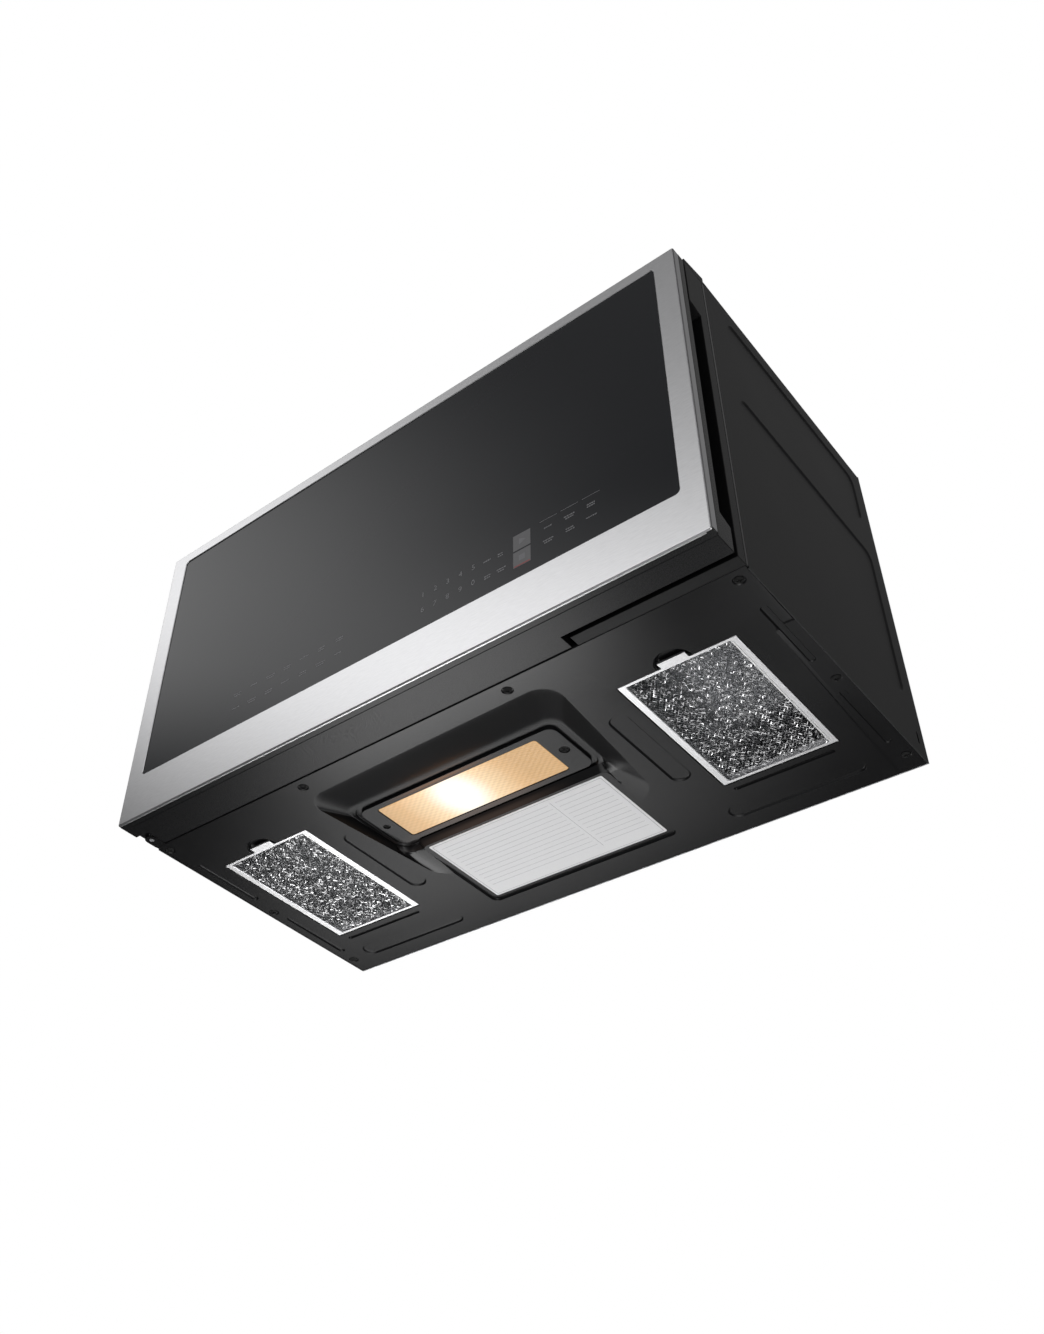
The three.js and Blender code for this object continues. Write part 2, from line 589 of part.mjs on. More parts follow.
function buildDoor() {
  const door = new THREE.Group();
  const panelFront = DOOR_THICKNESS - SEAT - SHEET;
  piece(door, 'door_trim', doorTrim(), STAINLESS);
  piece(door, 'door_glass', doorGlass(), DARK_GLASS);
  piece(door, 'door_body', doorBody(), BLACK_PLASTIC);
  piece(door, 'door_inner_panel', innerPanel(), BLACK_PAINT);
  const [screenX, screenZ] = sightSpan(SCREEN_LAP);
  const screenBack = panelFront - SEAT;
  const screen = block(screenX, [screenBack - SCREEN_THICKNESS, screenBack], screenZ);
  piece(door, 'door_screen', screen, BLACK_PAINT);
  const [clearX, clearZ] = sightSpan(-SEAT);
  piece(door, 'door_inner_window', block(clearX, [panelFront, panelFront + SHEET], clearZ), CLEAR_GLASS);
  const boardBottom = WINDOW_BOTTOM + BOARD_LIFT;
  const boardFront = DOOR_FRONT_WALL + SEAT;
  const board = block([-HALF + BOARD_IN.left, HALF - BOARD_IN.right],
    [boardFront, boardFront + BOARD_THICKNESS], [boardBottom, boardBottom + BOARD_HEIGHT]);
  const boardHole = rod('y', [0, boardBottom + BOARD_HEIGHT / 2], 2, [0, DOOR_THICKNESS], 8);
  piece(door, 'touch_board', board.subtract(boardHole), BOARD);
  const [lower, upper] = bushSpans();
  const bush = (span) => tube('z', [HINGE_X, HINGE_Y], BUSH_RADIUS, HINGE_PIN_RADIUS + SEAT, span, 16);
  piece(door, 'hinge_bush_lower', bush([HINGE_NOTCH + SEAT, lower[1] - SEAT]), WHITE_PLASTIC);
  piece(door, 'hinge_bush_upper', bush([upper[0] + SEAT, DOOR_HEIGHT - HINGE_NOTCH - SEAT]), WHITE_PLASTIC);
  piece(door, 'latch_bar', latchBar(), WHITE_PLASTIC);
  piece(door, 'latch_spring', latchSpring(), ZINC,
    [LATCH_X, LATCH_FRONT + LATCH_BAR_DEPTH / 2, springLevel()]);
  return door;
}

// ---------------------------------------------------------------- hinge hardware on the cabinet
function hingePlate(level, towards) {
  const back = FRAME_FRONT - SEAT;
  const spanZ = [level, level + towards * HINGE_PLATE].sort((a, b) => a - b);
  const flangeZ = towards > 0 ? [spanZ[0], spanZ[0] + HINGE_FLANGE] : [spanZ[1] - HINGE_FLANGE, spanZ[1]];
  const spanX = [HINGE_X - HINGE_PLATE_RADIUS, HINGE_X + HINGE_PLATE_RADIUS];
  const arm = union(rod('z', [HINGE_X, HINGE_Y], HINGE_PLATE_RADIUS, spanZ, 20),
    block(spanX, [HINGE_Y, back], spanZ));
  const flange = block(spanX, [back - SHEET, back], flangeZ);
  const hole = rod('z', [HINGE_X, HINGE_Y], HINGE_PIN_RADIUS + SEAT, [spanZ[0] - 1, spanZ[1] + 1], 16);
  return less(union(arm, flange), hole);
}

function buildHinges(group) {
  const low = UNDERSIDE + 0.3;
  const high = DOOR_HEIGHT - 0.3;
  const pin = (span) => rod('z', [HINGE_X, HINGE_Y], HINGE_PIN_RADIUS, span, 16);
  piece(group, 'hinge_plate_lower', hingePlate(low, 1), BLACK_PAINT);
  piece(group, 'hinge_plate_upper', hingePlate(high, -1), BLACK_PAINT);
  piece(group, 'hinge_pin_lower', pin([low, HINGE_NOTCH + HINGE_PIN_LENGTH - 1]), ZINC);
  piece(group, 'hinge_pin_upper', pin([DOOR_HEIGHT - HINGE_NOTCH - HINGE_PIN_LENGTH + 1, high]), ZINC);
}

// ---------------------------------------------------------------- fixed front
function frontFrame() {
  const bottom = BASE_TOP + SEAT;
  const outline = between([-HALF, HALF], [bottom, FRAME_TOP]);
  const inner = between([-HALF + SHEET, HALF - SHEET], [bottom + SHEET, FRAME_TOP - SHEET]);
  const opening = between([CAVITY_LEFT, CAVITY_RIGHT], [CAVITY_FLOOR, CAVITY_TOP], CAVITY_ROUND);
  const slots = HOOK_LEVELS.map((z) => hookSlot(z, [FRAME_FRONT - 1, FRAME_BACK + 1]));
  return less(prism(outline, 'y', [FRAME_FRONT, FRAME_BACK]),
    prism(inner, 'y', [FRAME_FRONT + SHEET, FRAME_BACK + 1]),
    prism(opening, 'y', [FRAME_FRONT - 1, FRAME_BACK]), ...slots);
}

function bayFrontPanel() {
  const back = FRAME_FRONT - SEAT;
  const wall = BAY_PANEL_WALL;
  const bottom = UNDERSIDE;
  const panel = block([BAY_START, HALF], [BAY_PANEL_FRONT, back], [bottom, FRAME_TOP]);
  const hollow = block([BAY_START + wall, HALF - wall], [BAY_PANEL_FRONT + wall, back + 1],
    [bottom + wall, FRAME_TOP - wall]);
  const inner = HALF - POCKET_REACH + 2;
  const shoulder = prism(polygon([[GRILLE_FRONT, FRAME_TOP], [GRILLE_FRONT, POCKET_TOP],
    [BAY_PANEL_FRONT + 1, POCKET_TOP - POCKET_SLOPE], [BAY_PANEL_FRONT + 1, FRAME_TOP]]), 'x', [inner, HALF]);
  const relief = block([inner + wall, HALF - wall], [GRILLE_FRONT + wall, BAY_PANEL_FRONT + wall + 1],
    [POCKET_TOP + wall, FRAME_TOP - wall]);
  return less(union(panel, shoulder), hollow, relief);
}

function topGrille() {
  const bottom = FRAME_TOP + SEAT;
  const slope = GRILLE_RISE / (FRAME_BACK - GRILLE_FRONT);
  const top = bottom + GRILLE_FRONT_HEIGHT;
  const outer = polygon([[GRILLE_FRONT, bottom], [FRAME_BACK, bottom], [FRAME_BACK, top + GRILLE_RISE],
    [GRILLE_FRONT, top]]);
  const wall = GRILLE_WALL;
  const inner = polygon([[GRILLE_FRONT + wall, bottom + wall], [FRAME_BACK + 1, bottom + wall],
    [FRAME_BACK + 1, top + GRILLE_RISE + slope - wall], [GRILLE_FRONT + wall, top + slope * wall - wall]]);
  const shell = prism(outer, 'x', [-HALF, HALF]).subtract(prism(inner, 'x', [-HALF + wall, HALF - wall]));
  const pitch = GRILLE_SLOT + GRILLE_BAR;
  const count = Math.floor((WIDTH - 2 * WINDOW_SIDE) / pitch);
  const start = -(count * pitch - GRILLE_BAR) / 2;
  const slots = [];
  for (let i = 0; i < count; i++) {
    const x = start + i * pitch;
    slots.push(block([x, x + GRILLE_SLOT], [GRILLE_FRONT + 8, FRAME_BACK - 7],
      [bottom + wall + 1, top + 2 * GRILLE_RISE]));
  }
  return less(shell, ...slots);
}

function charcoalFilter() {
  const { half, depth, rim, recess } = CHARCOAL;
  const spanZ = [CAVITY_TOP + CAVITY_WALL + SEAT, CASE_CEILING - SEAT];
  const y = FRAME_BACK + CHARCOAL.back;
  const frame = block([-half, half], [y, y + depth], spanZ);
  const cells = [[y - 1, y + recess], [y + depth - recess, y + depth + 1]];
  return less(frame, ...cells.map((spanY) => block([rim - half, half - rim], spanY,
    [spanZ[0] + rim, spanZ[1] - rim])));
}

// ---------------------------------------------------------------- case
// The two pressed panels in one side wall: what they add inside the wall and what they take outside.
function sidePresses(mirrored) {
  const spanY = [EMBOSS_FRONT, EMBOSS_BACK];
  const press = (spanZ, grow, from, deep) => {
    const outline = (extra) => between([spanY[0] - extra, spanY[1] + extra],
      [spanZ[0] - extra, spanZ[1] + extra], EMBOSS_ROUND + extra);
    const wall = geometryOf(loft(outline(grow), from, outline(grow - EMBOSS_SLOPE), from + deep, 1));
    const placed = solid(wall.applyMatrix4(AXES.x)).translate([-HALF, 0, 0]);
    return mirrored ? placed.mirror([1, 0, 0]) : placed;
  };
  const spans = [UPPER_EMBOSS, LOWER_EMBOSS];
  return {
    boss: spans.map((span) => press(span, SHEET, 0, EMBOSS + SHEET)),
    hollow: spans.map((span) => press(span, 0, -0.01, EMBOSS + 0.01)),
  };
}

function outerCase() {
  const outline = (inset) => {
    const round = CASE_BEND - inset * 0.5;
    const [left, right, top] = [-HALF + inset, HALF - inset, CASE_HEIGHT - inset];
    const bottom = inset > 0 ? UNDERSIDE - 1 : UNDERSIDE;
    const shape = new THREE.Shape();
    shape.moveTo(left, bottom);
    shape.lineTo(right, bottom);
    shape.absarc(right - round, top - round, round, 0, Math.PI / 2);
    shape.absarc(left + round, top - round, round, Math.PI / 2, Math.PI);
    return shape;
  };
  const inside = prism(outline(SHEET), 'y', [0, DEPTH + 1]);
  const shell = prism(outline(0), 'y', [CASE_FRONT, CASE_BACK]).subtract(inside);
  const presses = [sidePresses(false), sidePresses(true)];
  const through = [CASE_CEILING - 1, CASE_HEIGHT + 1];
  const exhaust = prism(between([BLOWER_X - EXHAUST_WIDTH / 2, BLOWER_X + EXHAUST_WIDTH / 2],
    [EXHAUST_CENTRE - EXHAUST_DEPTH / 2, EXHAUST_CENTRE + EXHAUST_DEPTH / 2]), 'z', through);
  const cordHole = rod('z', CORD_PLACE, CORD_HOLE_RADIUS, through, 16);
  const boltHole = (x) => rod('z', [x, CASE_FRONT + BOLT_BACK], BOLT_RADIUS, through, 8);
  const boltHoles = [-BOLT_SPREAD, 0, BOLT_SPREAD].map(boltHole);
  return less(union(shell, ...presses.flatMap((p) => p.boss)), ...presses.flatMap((p) => p.hollow),
    exhaust, cordHole, ...boltHoles);
}

function backPlate() {
  const plate = block([-HALF, HALF], [BACK_FRONT, DEPTH], [UNDERSIDE, CASE_HEIGHT]);
  const through = [BACK_FRONT - 1, DEPTH + 1];
  const { places, z, height, half, entry } = KEYHOLES;
  const keyholes = places.map((x) => union(block([x - half, x + half], through, [z, z + height]),
    rod('y', [x, z - entry / 2], entry, through, 10)));
  const vents = [];
  for (let i = 0; i < BACK_VENT.count; i++) {
    const x = BAY_LEFT + BACK_VENT.start + i * BACK_VENT.pitch;
    vents.push(block([x, x + BACK_VENT.width], through,
      [CAVITY_TOP - BACK_VENT.below, CAVITY_TOP + BACK_VENT.above]));
  }
  return less(plate, ...keyholes, ...vents);
}

// ---------------------------------------------------------------- underside
function pill({ width, length, y }, x) {
  const round = Math.min(width, length) / 2 - 0.5;
  const outline = (grow) => roundedRect(x, y, width + 2 * grow, length + 2 * grow, round + grow);
  return {
    boss: loft(outline(SHEET), UNDERSIDE, outline(SHEET - PILL_DEPTH), UNDERSIDE + PILL_DEPTH + SHEET, 1),
    hollow: loft(outline(0), UNDERSIDE - 0.01, outline(-PILL_DEPTH), UNDERSIDE + PILL_DEPTH, 1),
  };
}

function filterPocket(x) {
  const half = FILTER_WIDTH / 2 + FILTER_CLEARANCE;
  const spanY = [FILTER_FRONT - FILTER_CLEARANCE, FILTER_FRONT + FILTER_LENGTH + FILTER_CLEARANCE];
  const ceiling = FILTER_TOP + SEAT;
  const spanX = [x - half, x + half];
  const dimple = (grow, from, to) => rod('z', [x, spanY[0]], DIMPLE_RADIUS + grow, [from, to], 20);
  return {
    boss: union(
      block([spanX[0] - SHEET, spanX[1] + SHEET], [spanY[0] - SHEET, spanY[1] + SHEET],
        [UNDERSIDE, ceiling + SHEET]),
      dimple(SHEET, UNDERSIDE, UNDERSIDE + DIMPLE_DEPTH + SHEET)),
    hollow: union(
      block(spanX, spanY, [UNDERSIDE - 1, ceiling]),
      block([spanX[0] + FILTER_LEDGE, spanX[1] - FILTER_LEDGE],
        [spanY[0] + FILTER_LEDGE, spanY[1] - FILTER_LEDGE], [UNDERSIDE - 1, ceiling + 3 * SHEET]),
      dimple(0, UNDERSIDE - 1, UNDERSIDE + DIMPLE_DEPTH)),
  };
}

// A four-sided outline, wider at the front than at the back, with each corner rounded.
function bowlOutline({ front, back, frontSpan, backSpan, round }, grow) {
  const places = [[frontSpan[0] - grow, front - grow], [frontSpan[1] + grow, front - grow],
    [backSpan[1] + grow, back + grow], [backSpan[0] - grow, back + grow]];
  const corners = places.map(([x, y]) => new THREE.Vector2(x, y));
  const shape = new THREE.Shape();
  corners.forEach((corner, i) => {
    const along = (other) => corner.clone().add(other.clone().sub(corner).setLength(round));
    const start = along(corners[(i + 3) % 4]);
    const end = along(corners[(i + 1) % 4]);
    if (i) shape.lineTo(start.x, start.y);
    else shape.moveTo(start.x, start.y);
    shape.quadraticCurveTo(corner.x, corner.y, end.x, end.y);
  });
  return shape;
}

// The outline of a placed rectangular piece, grown all round.
function grown({ x, y, width, length }, grow, round) {
  return roundedRect(x, y, width + 2 * grow, length + 2 * grow, round);
}

function basePlate() {
  const lampOutline = (grow) => grown(LAMP, grow, LAMP.round + grow);
  const labelOutline = (grow) => grown(LABEL, grow, LABEL.round);
  const floorTop = UNDERSIDE + BOWL_DEPTH;
  const pockets = Object.values(FILTER_PLACES).map(filterPocket);
  const pills = [SIDE_PILL, REAR_PILL, REAR_SLOT].flatMap((press) => press.places.map((x) => pill(press, x)));
  for (const [from, to] of EDGE_RIB.spans) {
    const rib = { width: EDGE_RIB.width, length: to - from, y: (from + to) / 2 };
    pills.push(pill(rib, -EDGE_RIB.x), pill(rib, EDGE_RIB.x));
  }
  const sheet = block([-BAY_RIGHT, BAY_RIGHT], [FRAME_FRONT, CASE_BACK], [UNDERSIDE, BASE_TOP]);
  const flat = block([-BAY_RIGHT, BAY_RIGHT], [FRAME_FRONT, CASE_BACK], [UNDERSIDE, 3 * CASE_HEIGHT]);
  const raised = union(sheet,
    loft(bowlOutline(BOWL, SHEET), UNDERSIDE, bowlOutline(BOWL_FLOOR, SHEET), floorTop + SHEET),
    prism(lampOutline(LAMP_GROOVE + SHEET), 'z', [UNDERSIDE, POCKET_CEILING + SHEET]),
    prism(labelOutline(SHEET), 'z', [UNDERSIDE, UNDERSIDE + LABEL.depth + SHEET]),
    ...pockets.map((p) => p.boss), ...pills.map((p) => p.boss)).intersect(flat);
  const labelSeat = prism(labelOutline(0), 'z', [UNDERSIDE + LABEL.depth, floorTop + SHEET]);
  const dish = loft(bowlOutline(BOWL, 0), UNDERSIDE - 0.01, bowlOutline(BOWL_FLOOR, 0), floorTop);
  const bowl = dish.subtract(labelSeat);
  const lightHole = prism(grown(LENS, 2 * LENS_LAP, 0), 'z', [UNDERSIDE, POCKET_CEILING + 3 * SHEET]);
  return less(raised, bowl, lightHole,
    prism(lampOutline(LAMP_GROOVE), 'z', [UNDERSIDE + 2, POCKET_CEILING]),
    prism(labelOutline(0), 'z', [UNDERSIDE - 1, UNDERSIDE + LABEL.depth]),
    ...pockets.map((p) => p.hollow), ...pills.map((p) => p.hollow));
}

function filterFrame() {
  const [halfX, halfY] = [FILTER_WIDTH / 2, FILTER_LENGTH / 2];
  const skin = FILTER_SKIN;
  const body = block([-halfX, halfX], [-halfY, halfY], [0, FILTER_THICKNESS]);
  const channel = block([-halfX + skin, halfX - skin], [-halfY + skin, halfY - skin],
    [skin, FILTER_THICKNESS - skin]);
  const face = block([-halfX + FILTER_RAIL, halfX - FILTER_RAIL],
    [-halfY + FILTER_END_RAIL, halfY - FILTER_END_RAIL], [-1, FILTER_THICKNESS + 1]);
  const tab = block([-TAB_WIDTH / 2, TAB_WIDTH / 2], [-halfY - TAB_LENGTH, -halfY + skin], [0, skin]);
  const lip = block([-TAB_WIDTH / 2, TAB_WIDTH / 2], [-halfY - TAB_LENGTH, -halfY - TAB_LENGTH + skin],
    [0, TAB_LIP]);
  return union(less(body, channel, face), tab, lip);
}

function filterMesh() {
  const gap = FILTER_SKIN + SEAT;
  const [halfX, halfY] = [FILTER_WIDTH / 2 - gap, FILTER_LENGTH / 2 - gap];
  return block([-halfX, halfX], [-halfY, halfY], [gap, gap + FILTER_PAD]);
}

function lampCover() {
  const spanZ = [LAMP_LEVEL, POCKET_CEILING - SEAT];
  const through = [0, CASE_HEIGHT];
  const plate = prism(grown(LAMP, 0, LAMP.round), 'z', spanZ);
  const lensHole = prism(grown(LENS, SEAT, LENS.round), 'z', through, 1);
  const rebate = prism(grown(LENS, LENS_LAP, 0), 'z', [spanZ[1] - LENS_FLANGE, spanZ[1] + 1]);
  const half = LAMP.width / 2 - LAMP_SCREW_IN;
  const places = [[LAMP.x + half, LAMP.y + 10], [LAMP.x - half, LAMP.y - 4]];
  const screws = places.map((place) => rod('z', place, LAMP_SCREW_RADIUS, through, 12));
  return less(plate, lensHole, rebate, ...screws);
}

function lampLens() {
  const top = POCKET_CEILING - SEAT;
  const body = prism(grown(LENS, 0, LENS.round), 'z', [LAMP_LEVEL + 0.4, top], 1);
  const flange = prism(grown(LENS, LENS_LAP - SEAT, 0), 'z', [top - LENS_FLANGE + SEAT, top]);
  const pitch = LENS.width / LENS_RIBS;
  const ribs = [];
  for (let i = 0; i < LENS_RIBS; i++) {
    const x = LENS.x - LENS.width / 2 + (i + 0.5) * pitch;
    const groove = polygon([[x - pitch / 2 + 1, top + 0.4], [x, top - 0.6], [x + pitch / 2 - 1, top + 0.4]]);
    ribs.push(prism(groove, 'y', [LENS.y - LENS.length / 2 + 2, LENS.y + LENS.length / 2 - 2]));
  }
  return less(union(body, flange), ...ribs);
}

function lampReflector() {
  const [halfX, halfY] = [LENS.width / 2 + 2 * LENS_LAP + 8, LENS.length / 2 + 1.5 * LENS_LAP + 6];
  const floor = POCKET_CEILING + SHEET + SEAT;
  const top = floor + REFLECTOR_HEIGHT;
  const rim = (grow) => roundedRect(LENS.x, LENS.y, 2 * (halfX + grow), 2 * (halfY + grow), 0);
  const roof = (grow) => roundedRect(LENS.x, LENS.y, 2 * (halfX - 14 + grow), 2 * (halfY - 12 + grow), 0);
  const bulbGap = BULB_BASE_RADIUS + SEAT;
  const bulbHole = block([LENS.x + halfX - 16, LENS.x + halfX + 1], [LENS.y - bulbGap, LENS.y + bulbGap],
    [BULB_LEVEL - bulbGap, BULB_LEVEL + bulbGap]);
  return less(loft(rim(0), floor, roof(0), top),
    loft(rim(-SHEET), floor - 0.5, roof(-SHEET), top - SHEET), bulbHole);
}

function lampBulb() {
  const right = LENS.x + LENS.width / 2 + 2;
  return union(rod('x', [LENS.y, BULB_LEVEL], BULB_RADIUS, [right - 60, right - 18], 16),
    rod('x', [LENS.y, BULB_LEVEL], BULB_BASE_RADIUS, [right - 20, right + 6], 16));
}

function buildUnderside(cabinet) {
  piece(cabinet, 'base_plate', basePlate(), BLACK_PAINT);
  piece(cabinet, 'lamp_cover_plate', lampCover(), BLACK_PAINT);
  piece(cabinet, 'lamp_lens', lampLens(), AMBER_GLASS);
  piece(cabinet, 'lamp_reflector', lampReflector(), ALUMINIUM);
  piece(cabinet, 'lamp_bulb', lampBulb(), CLEAR_GLASS);
  for (const [side, x] of Object.entries(FILTER_PLACES)) {
    const filter = new THREE.Group();
    filter.position.set(x, FILTER_MIDDLE_Y, FILTER_BOTTOM);
    piece(filter, `grease_filter_frame_${side}`, filterFrame(), ALUMINIUM);
    piece(filter, `grease_filter_mesh_${side}`, filterMesh(), ALUMINIUM);
    cabinet.add(filter);
  }
}

// ---------------------------------------------------------------- oven cavity and turntable
function ovenCavity() {
  const outline = (grow) => between([CAVITY_LEFT - grow, CAVITY_RIGHT + grow],
    [CAVITY_FLOOR - grow, CAVITY_TOP + grow], CAVITY_ROUND + grow);
  const shell = prism(outline(CAVITY_WALL), 'y', [CAVITY_FRONT, CAVITY_BACK + CAVITY_WALL])
    .subtract(prism(outline(0), 'y', [0, CAVITY_BACK]));
  const port = block([CAVITY_RIGHT - 5, CAVITY_RIGHT + 5],
    [PORT_Y - PORT_LENGTH / 2, PORT_Y + PORT_LENGTH / 2], [PORT_Z - PORT_HEIGHT / 2, PORT_Z + PORT_HEIGHT / 2]);
  const holes = [];
  for (let row = 0; row < VENT_ROWS; row++) {
    for (let column = 0; column < VENT_COLUMNS; column++) {
      const at = [CAVITY_FRONT + VENT_START + column * VENT_PITCH, CAVITY_TOP - VENT_DROP + row * VENT_PITCH];
      for (const wall of [CAVITY_LEFT, CAVITY_RIGHT]) {
        holes.push(rod('x', at, VENT_HOLE, [wall - 5, wall + 5], 6));
      }
    }
  }
  const stem = rod('z', [CAVITY_X, CAVITY_MIDDLE_Y], STEM_HOLE, [CAVITY_FLOOR - 5, CAVITY_FLOOR + 5], 16);
  return less(shell, port, stem, ...holes);
}

function trayProfile() {
  const t = TRAY_THICKNESS;
  const rim = TRAY_RADIUS;
  return [[0, 0], [rim - 16, 0], [rim - 4, TRAY_RIM - 3], [rim, TRAY_RIM], [rim - 2, TRAY_RIM + 1.2],
    [rim - 7, TRAY_RIM - 1], [rim - 18, t], [0, t]];
}

function rollerRing() {
  const half = RING_HEIGHT / 2;
  const ring = tube('z', [0, 0], RING_OUTER, RING_INNER, [-half, half], 30);
  const axles = [];
  for (let i = 0; i < ROLLER_COUNT; i++) {
    const face = ROLLER_CIRCLE + ROLLER_WIDTH / 2;
    const axle = union(rod('x', [0, 0], AXLE_RADIUS, [RING_INNER + 1, face + 1.5], 8),
      rod('x', [0, 0], AXLE_RADIUS + 1.3, [face + SEAT, face + 1.8], 8));
    axles.push(axle.rotate([0, 0, (360 * i) / ROLLER_COUNT]));
  }
  return union(ring, ...axles);
}

function roller() {
  return tube('x', [0, 0], ROLLER_RADIUS, AXLE_RADIUS + SEAT, [-ROLLER_WIDTH / 2, ROLLER_WIDTH / 2], 16);
}

function turntableCoupler() {
  const lobes = new THREE.Shape();
  const steps = 18;
  for (let i = 0; i < steps; i++) {
    const angle = (2 * Math.PI * i) / steps;
    const radius = COUPLER_LOBE * (0.72 + 0.28 * Math.cos(3 * angle));
    const [x, y] = [radius * Math.cos(angle), radius * Math.sin(angle)];
    if (i) lobes.lineTo(x, y);
    else lobes.moveTo(x, y);
  }
  const top = TRAY_BOTTOM - SEAT - CAVITY_FLOOR;
  const stem = rod('z', [0, 0], STEM_RADIUS, [-STEM_LENGTH, top - COUPLER_HEIGHT + 1], 16);
  return union(prism(lobes, 'z', [top - COUPLER_HEIGHT, top]), stem);
}

function turntableMotor() {
  const top = -CAVITY_WALL - SEAT;
  const can = rod('z', [0, 0], MOTOR_RADIUS, [top - MOTOR_HEIGHT, top], 24);
  const ears = prism(roundedRect(0, 0, 2 * MOTOR_RADIUS + 16, 12, 4), 'z', [top - SHEET, top]);
  return less(union(can, ears), rod('z', [0, 0], STEM_RADIUS + SEAT, [-STEM_LENGTH - 1, top + 1], 16),
    ...[-1, 1].map((side) => rod('z', [side * (MOTOR_RADIUS + 4), 0], 2, [top - 5, top + 1], 8)));
}

function buildOven(cabinet) {
  piece(cabinet, 'oven_cavity', ovenCavity(), ENAMEL);
  const table = new THREE.Group();
  table.position.set(CAVITY_X, CAVITY_MIDDLE_Y, CAVITY_FLOOR);
  piece(table, 'turntable_tray', turned(trayProfile(), 36), CLEAR_GLASS, [0, 0, TRAY_BOTTOM - CAVITY_FLOOR]);
  piece(table, 'turntable_coupler', turntableCoupler(), WHITE_PLASTIC);
  piece(table, 'turntable_motor', turntableMotor(), ZINC);
  piece(table, 'roller_ring', rollerRing(), WHITE_PLASTIC, [0, 0, RING_MIDDLE - CAVITY_FLOOR]);
  for (let i = 0; i < ROLLER_COUNT; i++) {
    const arm = new THREE.Group();
    arm.position.z = RING_MIDDLE - CAVITY_FLOOR;
    arm.rotation.z = (2 * Math.PI * i) / ROLLER_COUNT;
    piece(arm, `ring_roller_${i + 1}`, roller(), WHITE_PLASTIC, [ROLLER_CIRCLE, 0, 0]);
    table.add(arm);
  }
  cabinet.add(table);
}

// ---------------------------------------------------------------- machinery bay
function waveguide() {
  const spanX = [BAY_LEFT, GUIDE_OUTER];
  const spanY = [GUIDE_FRONT, GUIDE_BACK];
  const spanZ = [PORT_Z - GUIDE_HEIGHT / 2, PORT_Z + GUIDE_HEIGHT / 2];
  const inside = (span) => [span[0] + SHEET, span[1] - SHEET];
  const duct = less(block(spanX, spanY, spanZ),
    block([spanX[0] - 1, spanX[1] - SHEET], inside(spanY), inside(spanZ)),
    rod('x', [MAGNETRON_Y, PORT_Z], ANTENNA_RADIUS + 2, [spanX[1] - 5, spanX[1] + 5], 20));
  const wide = (span) => [span[0] - GUIDE_FLANGE, span[1] + GUIDE_FLANGE];
  const flange = less(block([spanX[0], spanX[0] + SHEET], wide(spanY), wide(spanZ)),
    block([spanX[0] - 1, spanX[0] + 3], spanY, spanZ));
  return union(duct, flange);
}

function magnetron() {
  const start = GUIDE_OUTER + SEAT;
  const [y, z] = [MAGNETRON_Y, PORT_Z];
  const m = MAGNETRON;
  const around = (middle, half) => [middle - half, middle + half];
  const antenna = rod('x', [y, z], ANTENNA_RADIUS, [start - m.antennaReach, start + 2], 20);
  const plate = block([start, start + SHEET], around(y, m.half), around(z, m.height / 2));
  const anode = rod('x', [y, z], m.anode, [start + 1, start + m.yoke + 4], 12);
  const fins = [];
  for (let i = 0; i < m.fins; i++) {
    const x = start + m.finStart + i * m.finPitch;
    fins.push(block([x, x + m.fin], around(y, m.finHalf), around(z, m.finHeight / 2)));
  }
  const yoke = less(block([start, start + m.yoke], around(y, m.half), around(z, m.yokeHeight / 2)),
    block([start + m.yokeWall, start + m.yoke - m.yokeWall], around(y, m.half + 1),
      around(z, m.yokeHeight / 2 - m.yokeWall)));
  const boxFrom = start + m.yoke - 1;
  const filterBox = block([boxFrom, boxFrom + m.box], around(y, m.boxHalf), around(z, m.boxHeight / 2));
  const plug = block([boxFrom + 7, boxFrom + 7 + m.plug], [y - m.boxHalf - m.plugReach, y - m.boxHalf + 1],
    around(z, m.plugHeight / 2));
  return union(antenna, plate, anode, yoke, filterBox, plug, ...fins);
}

function transformer() {
  const { width, depth, height, limb, slot, foot, footSheet } = TRANSFORMER;
  const { coil, coilGap, coilRound, coilOver } = TRANSFORMER;
  const window = (x) => block([x, x + slot], [-1, depth + 1], [slot, height - slot]);
  const core = less(block([0, width], [0, depth], [0, height]), window(limb), window(width - limb - slot));
  const turn = roundedRect(width / 2, depth / 2, width - 2 * limb, depth + 2 * coilOver, coilRound);
  const coils = [slot, slot + coil + coilGap].map((z) => prism(turn, 'z', [z, z + coil], 1));
  const feet = block([-foot, width + foot], [foot - footSheet, depth - foot + footSheet], [0, footSheet]);
  return union(core, ...coils, feet);
}

function capacitor() {
  const c = CAPACITOR;
  const around = (grow) => roundedRect(0, 0, c.width + 2 * grow, c.length + 2 * grow, c.round + grow / 2);
  const can = prism(around(0), 'z', [0, c.height], 3);
  const blades = [-c.spread, c.spread].map((y) => block([-c.terminalSheet / 2, c.terminalSheet / 2],
    [y - c.terminalWidth / 2, y + c.terminalWidth / 2], [c.height - 1, c.height + c.terminal]));
  const strap = prism(around(c.strap), 'z', [c.strapFrom, c.strapTo], 3);
  const foot = block([-c.foot, 0], [-c.footWidth / 2, c.footWidth / 2], [c.strapFrom, c.strapFrom + c.strap]);
  return union(can, strap, ...blades, foot);
}

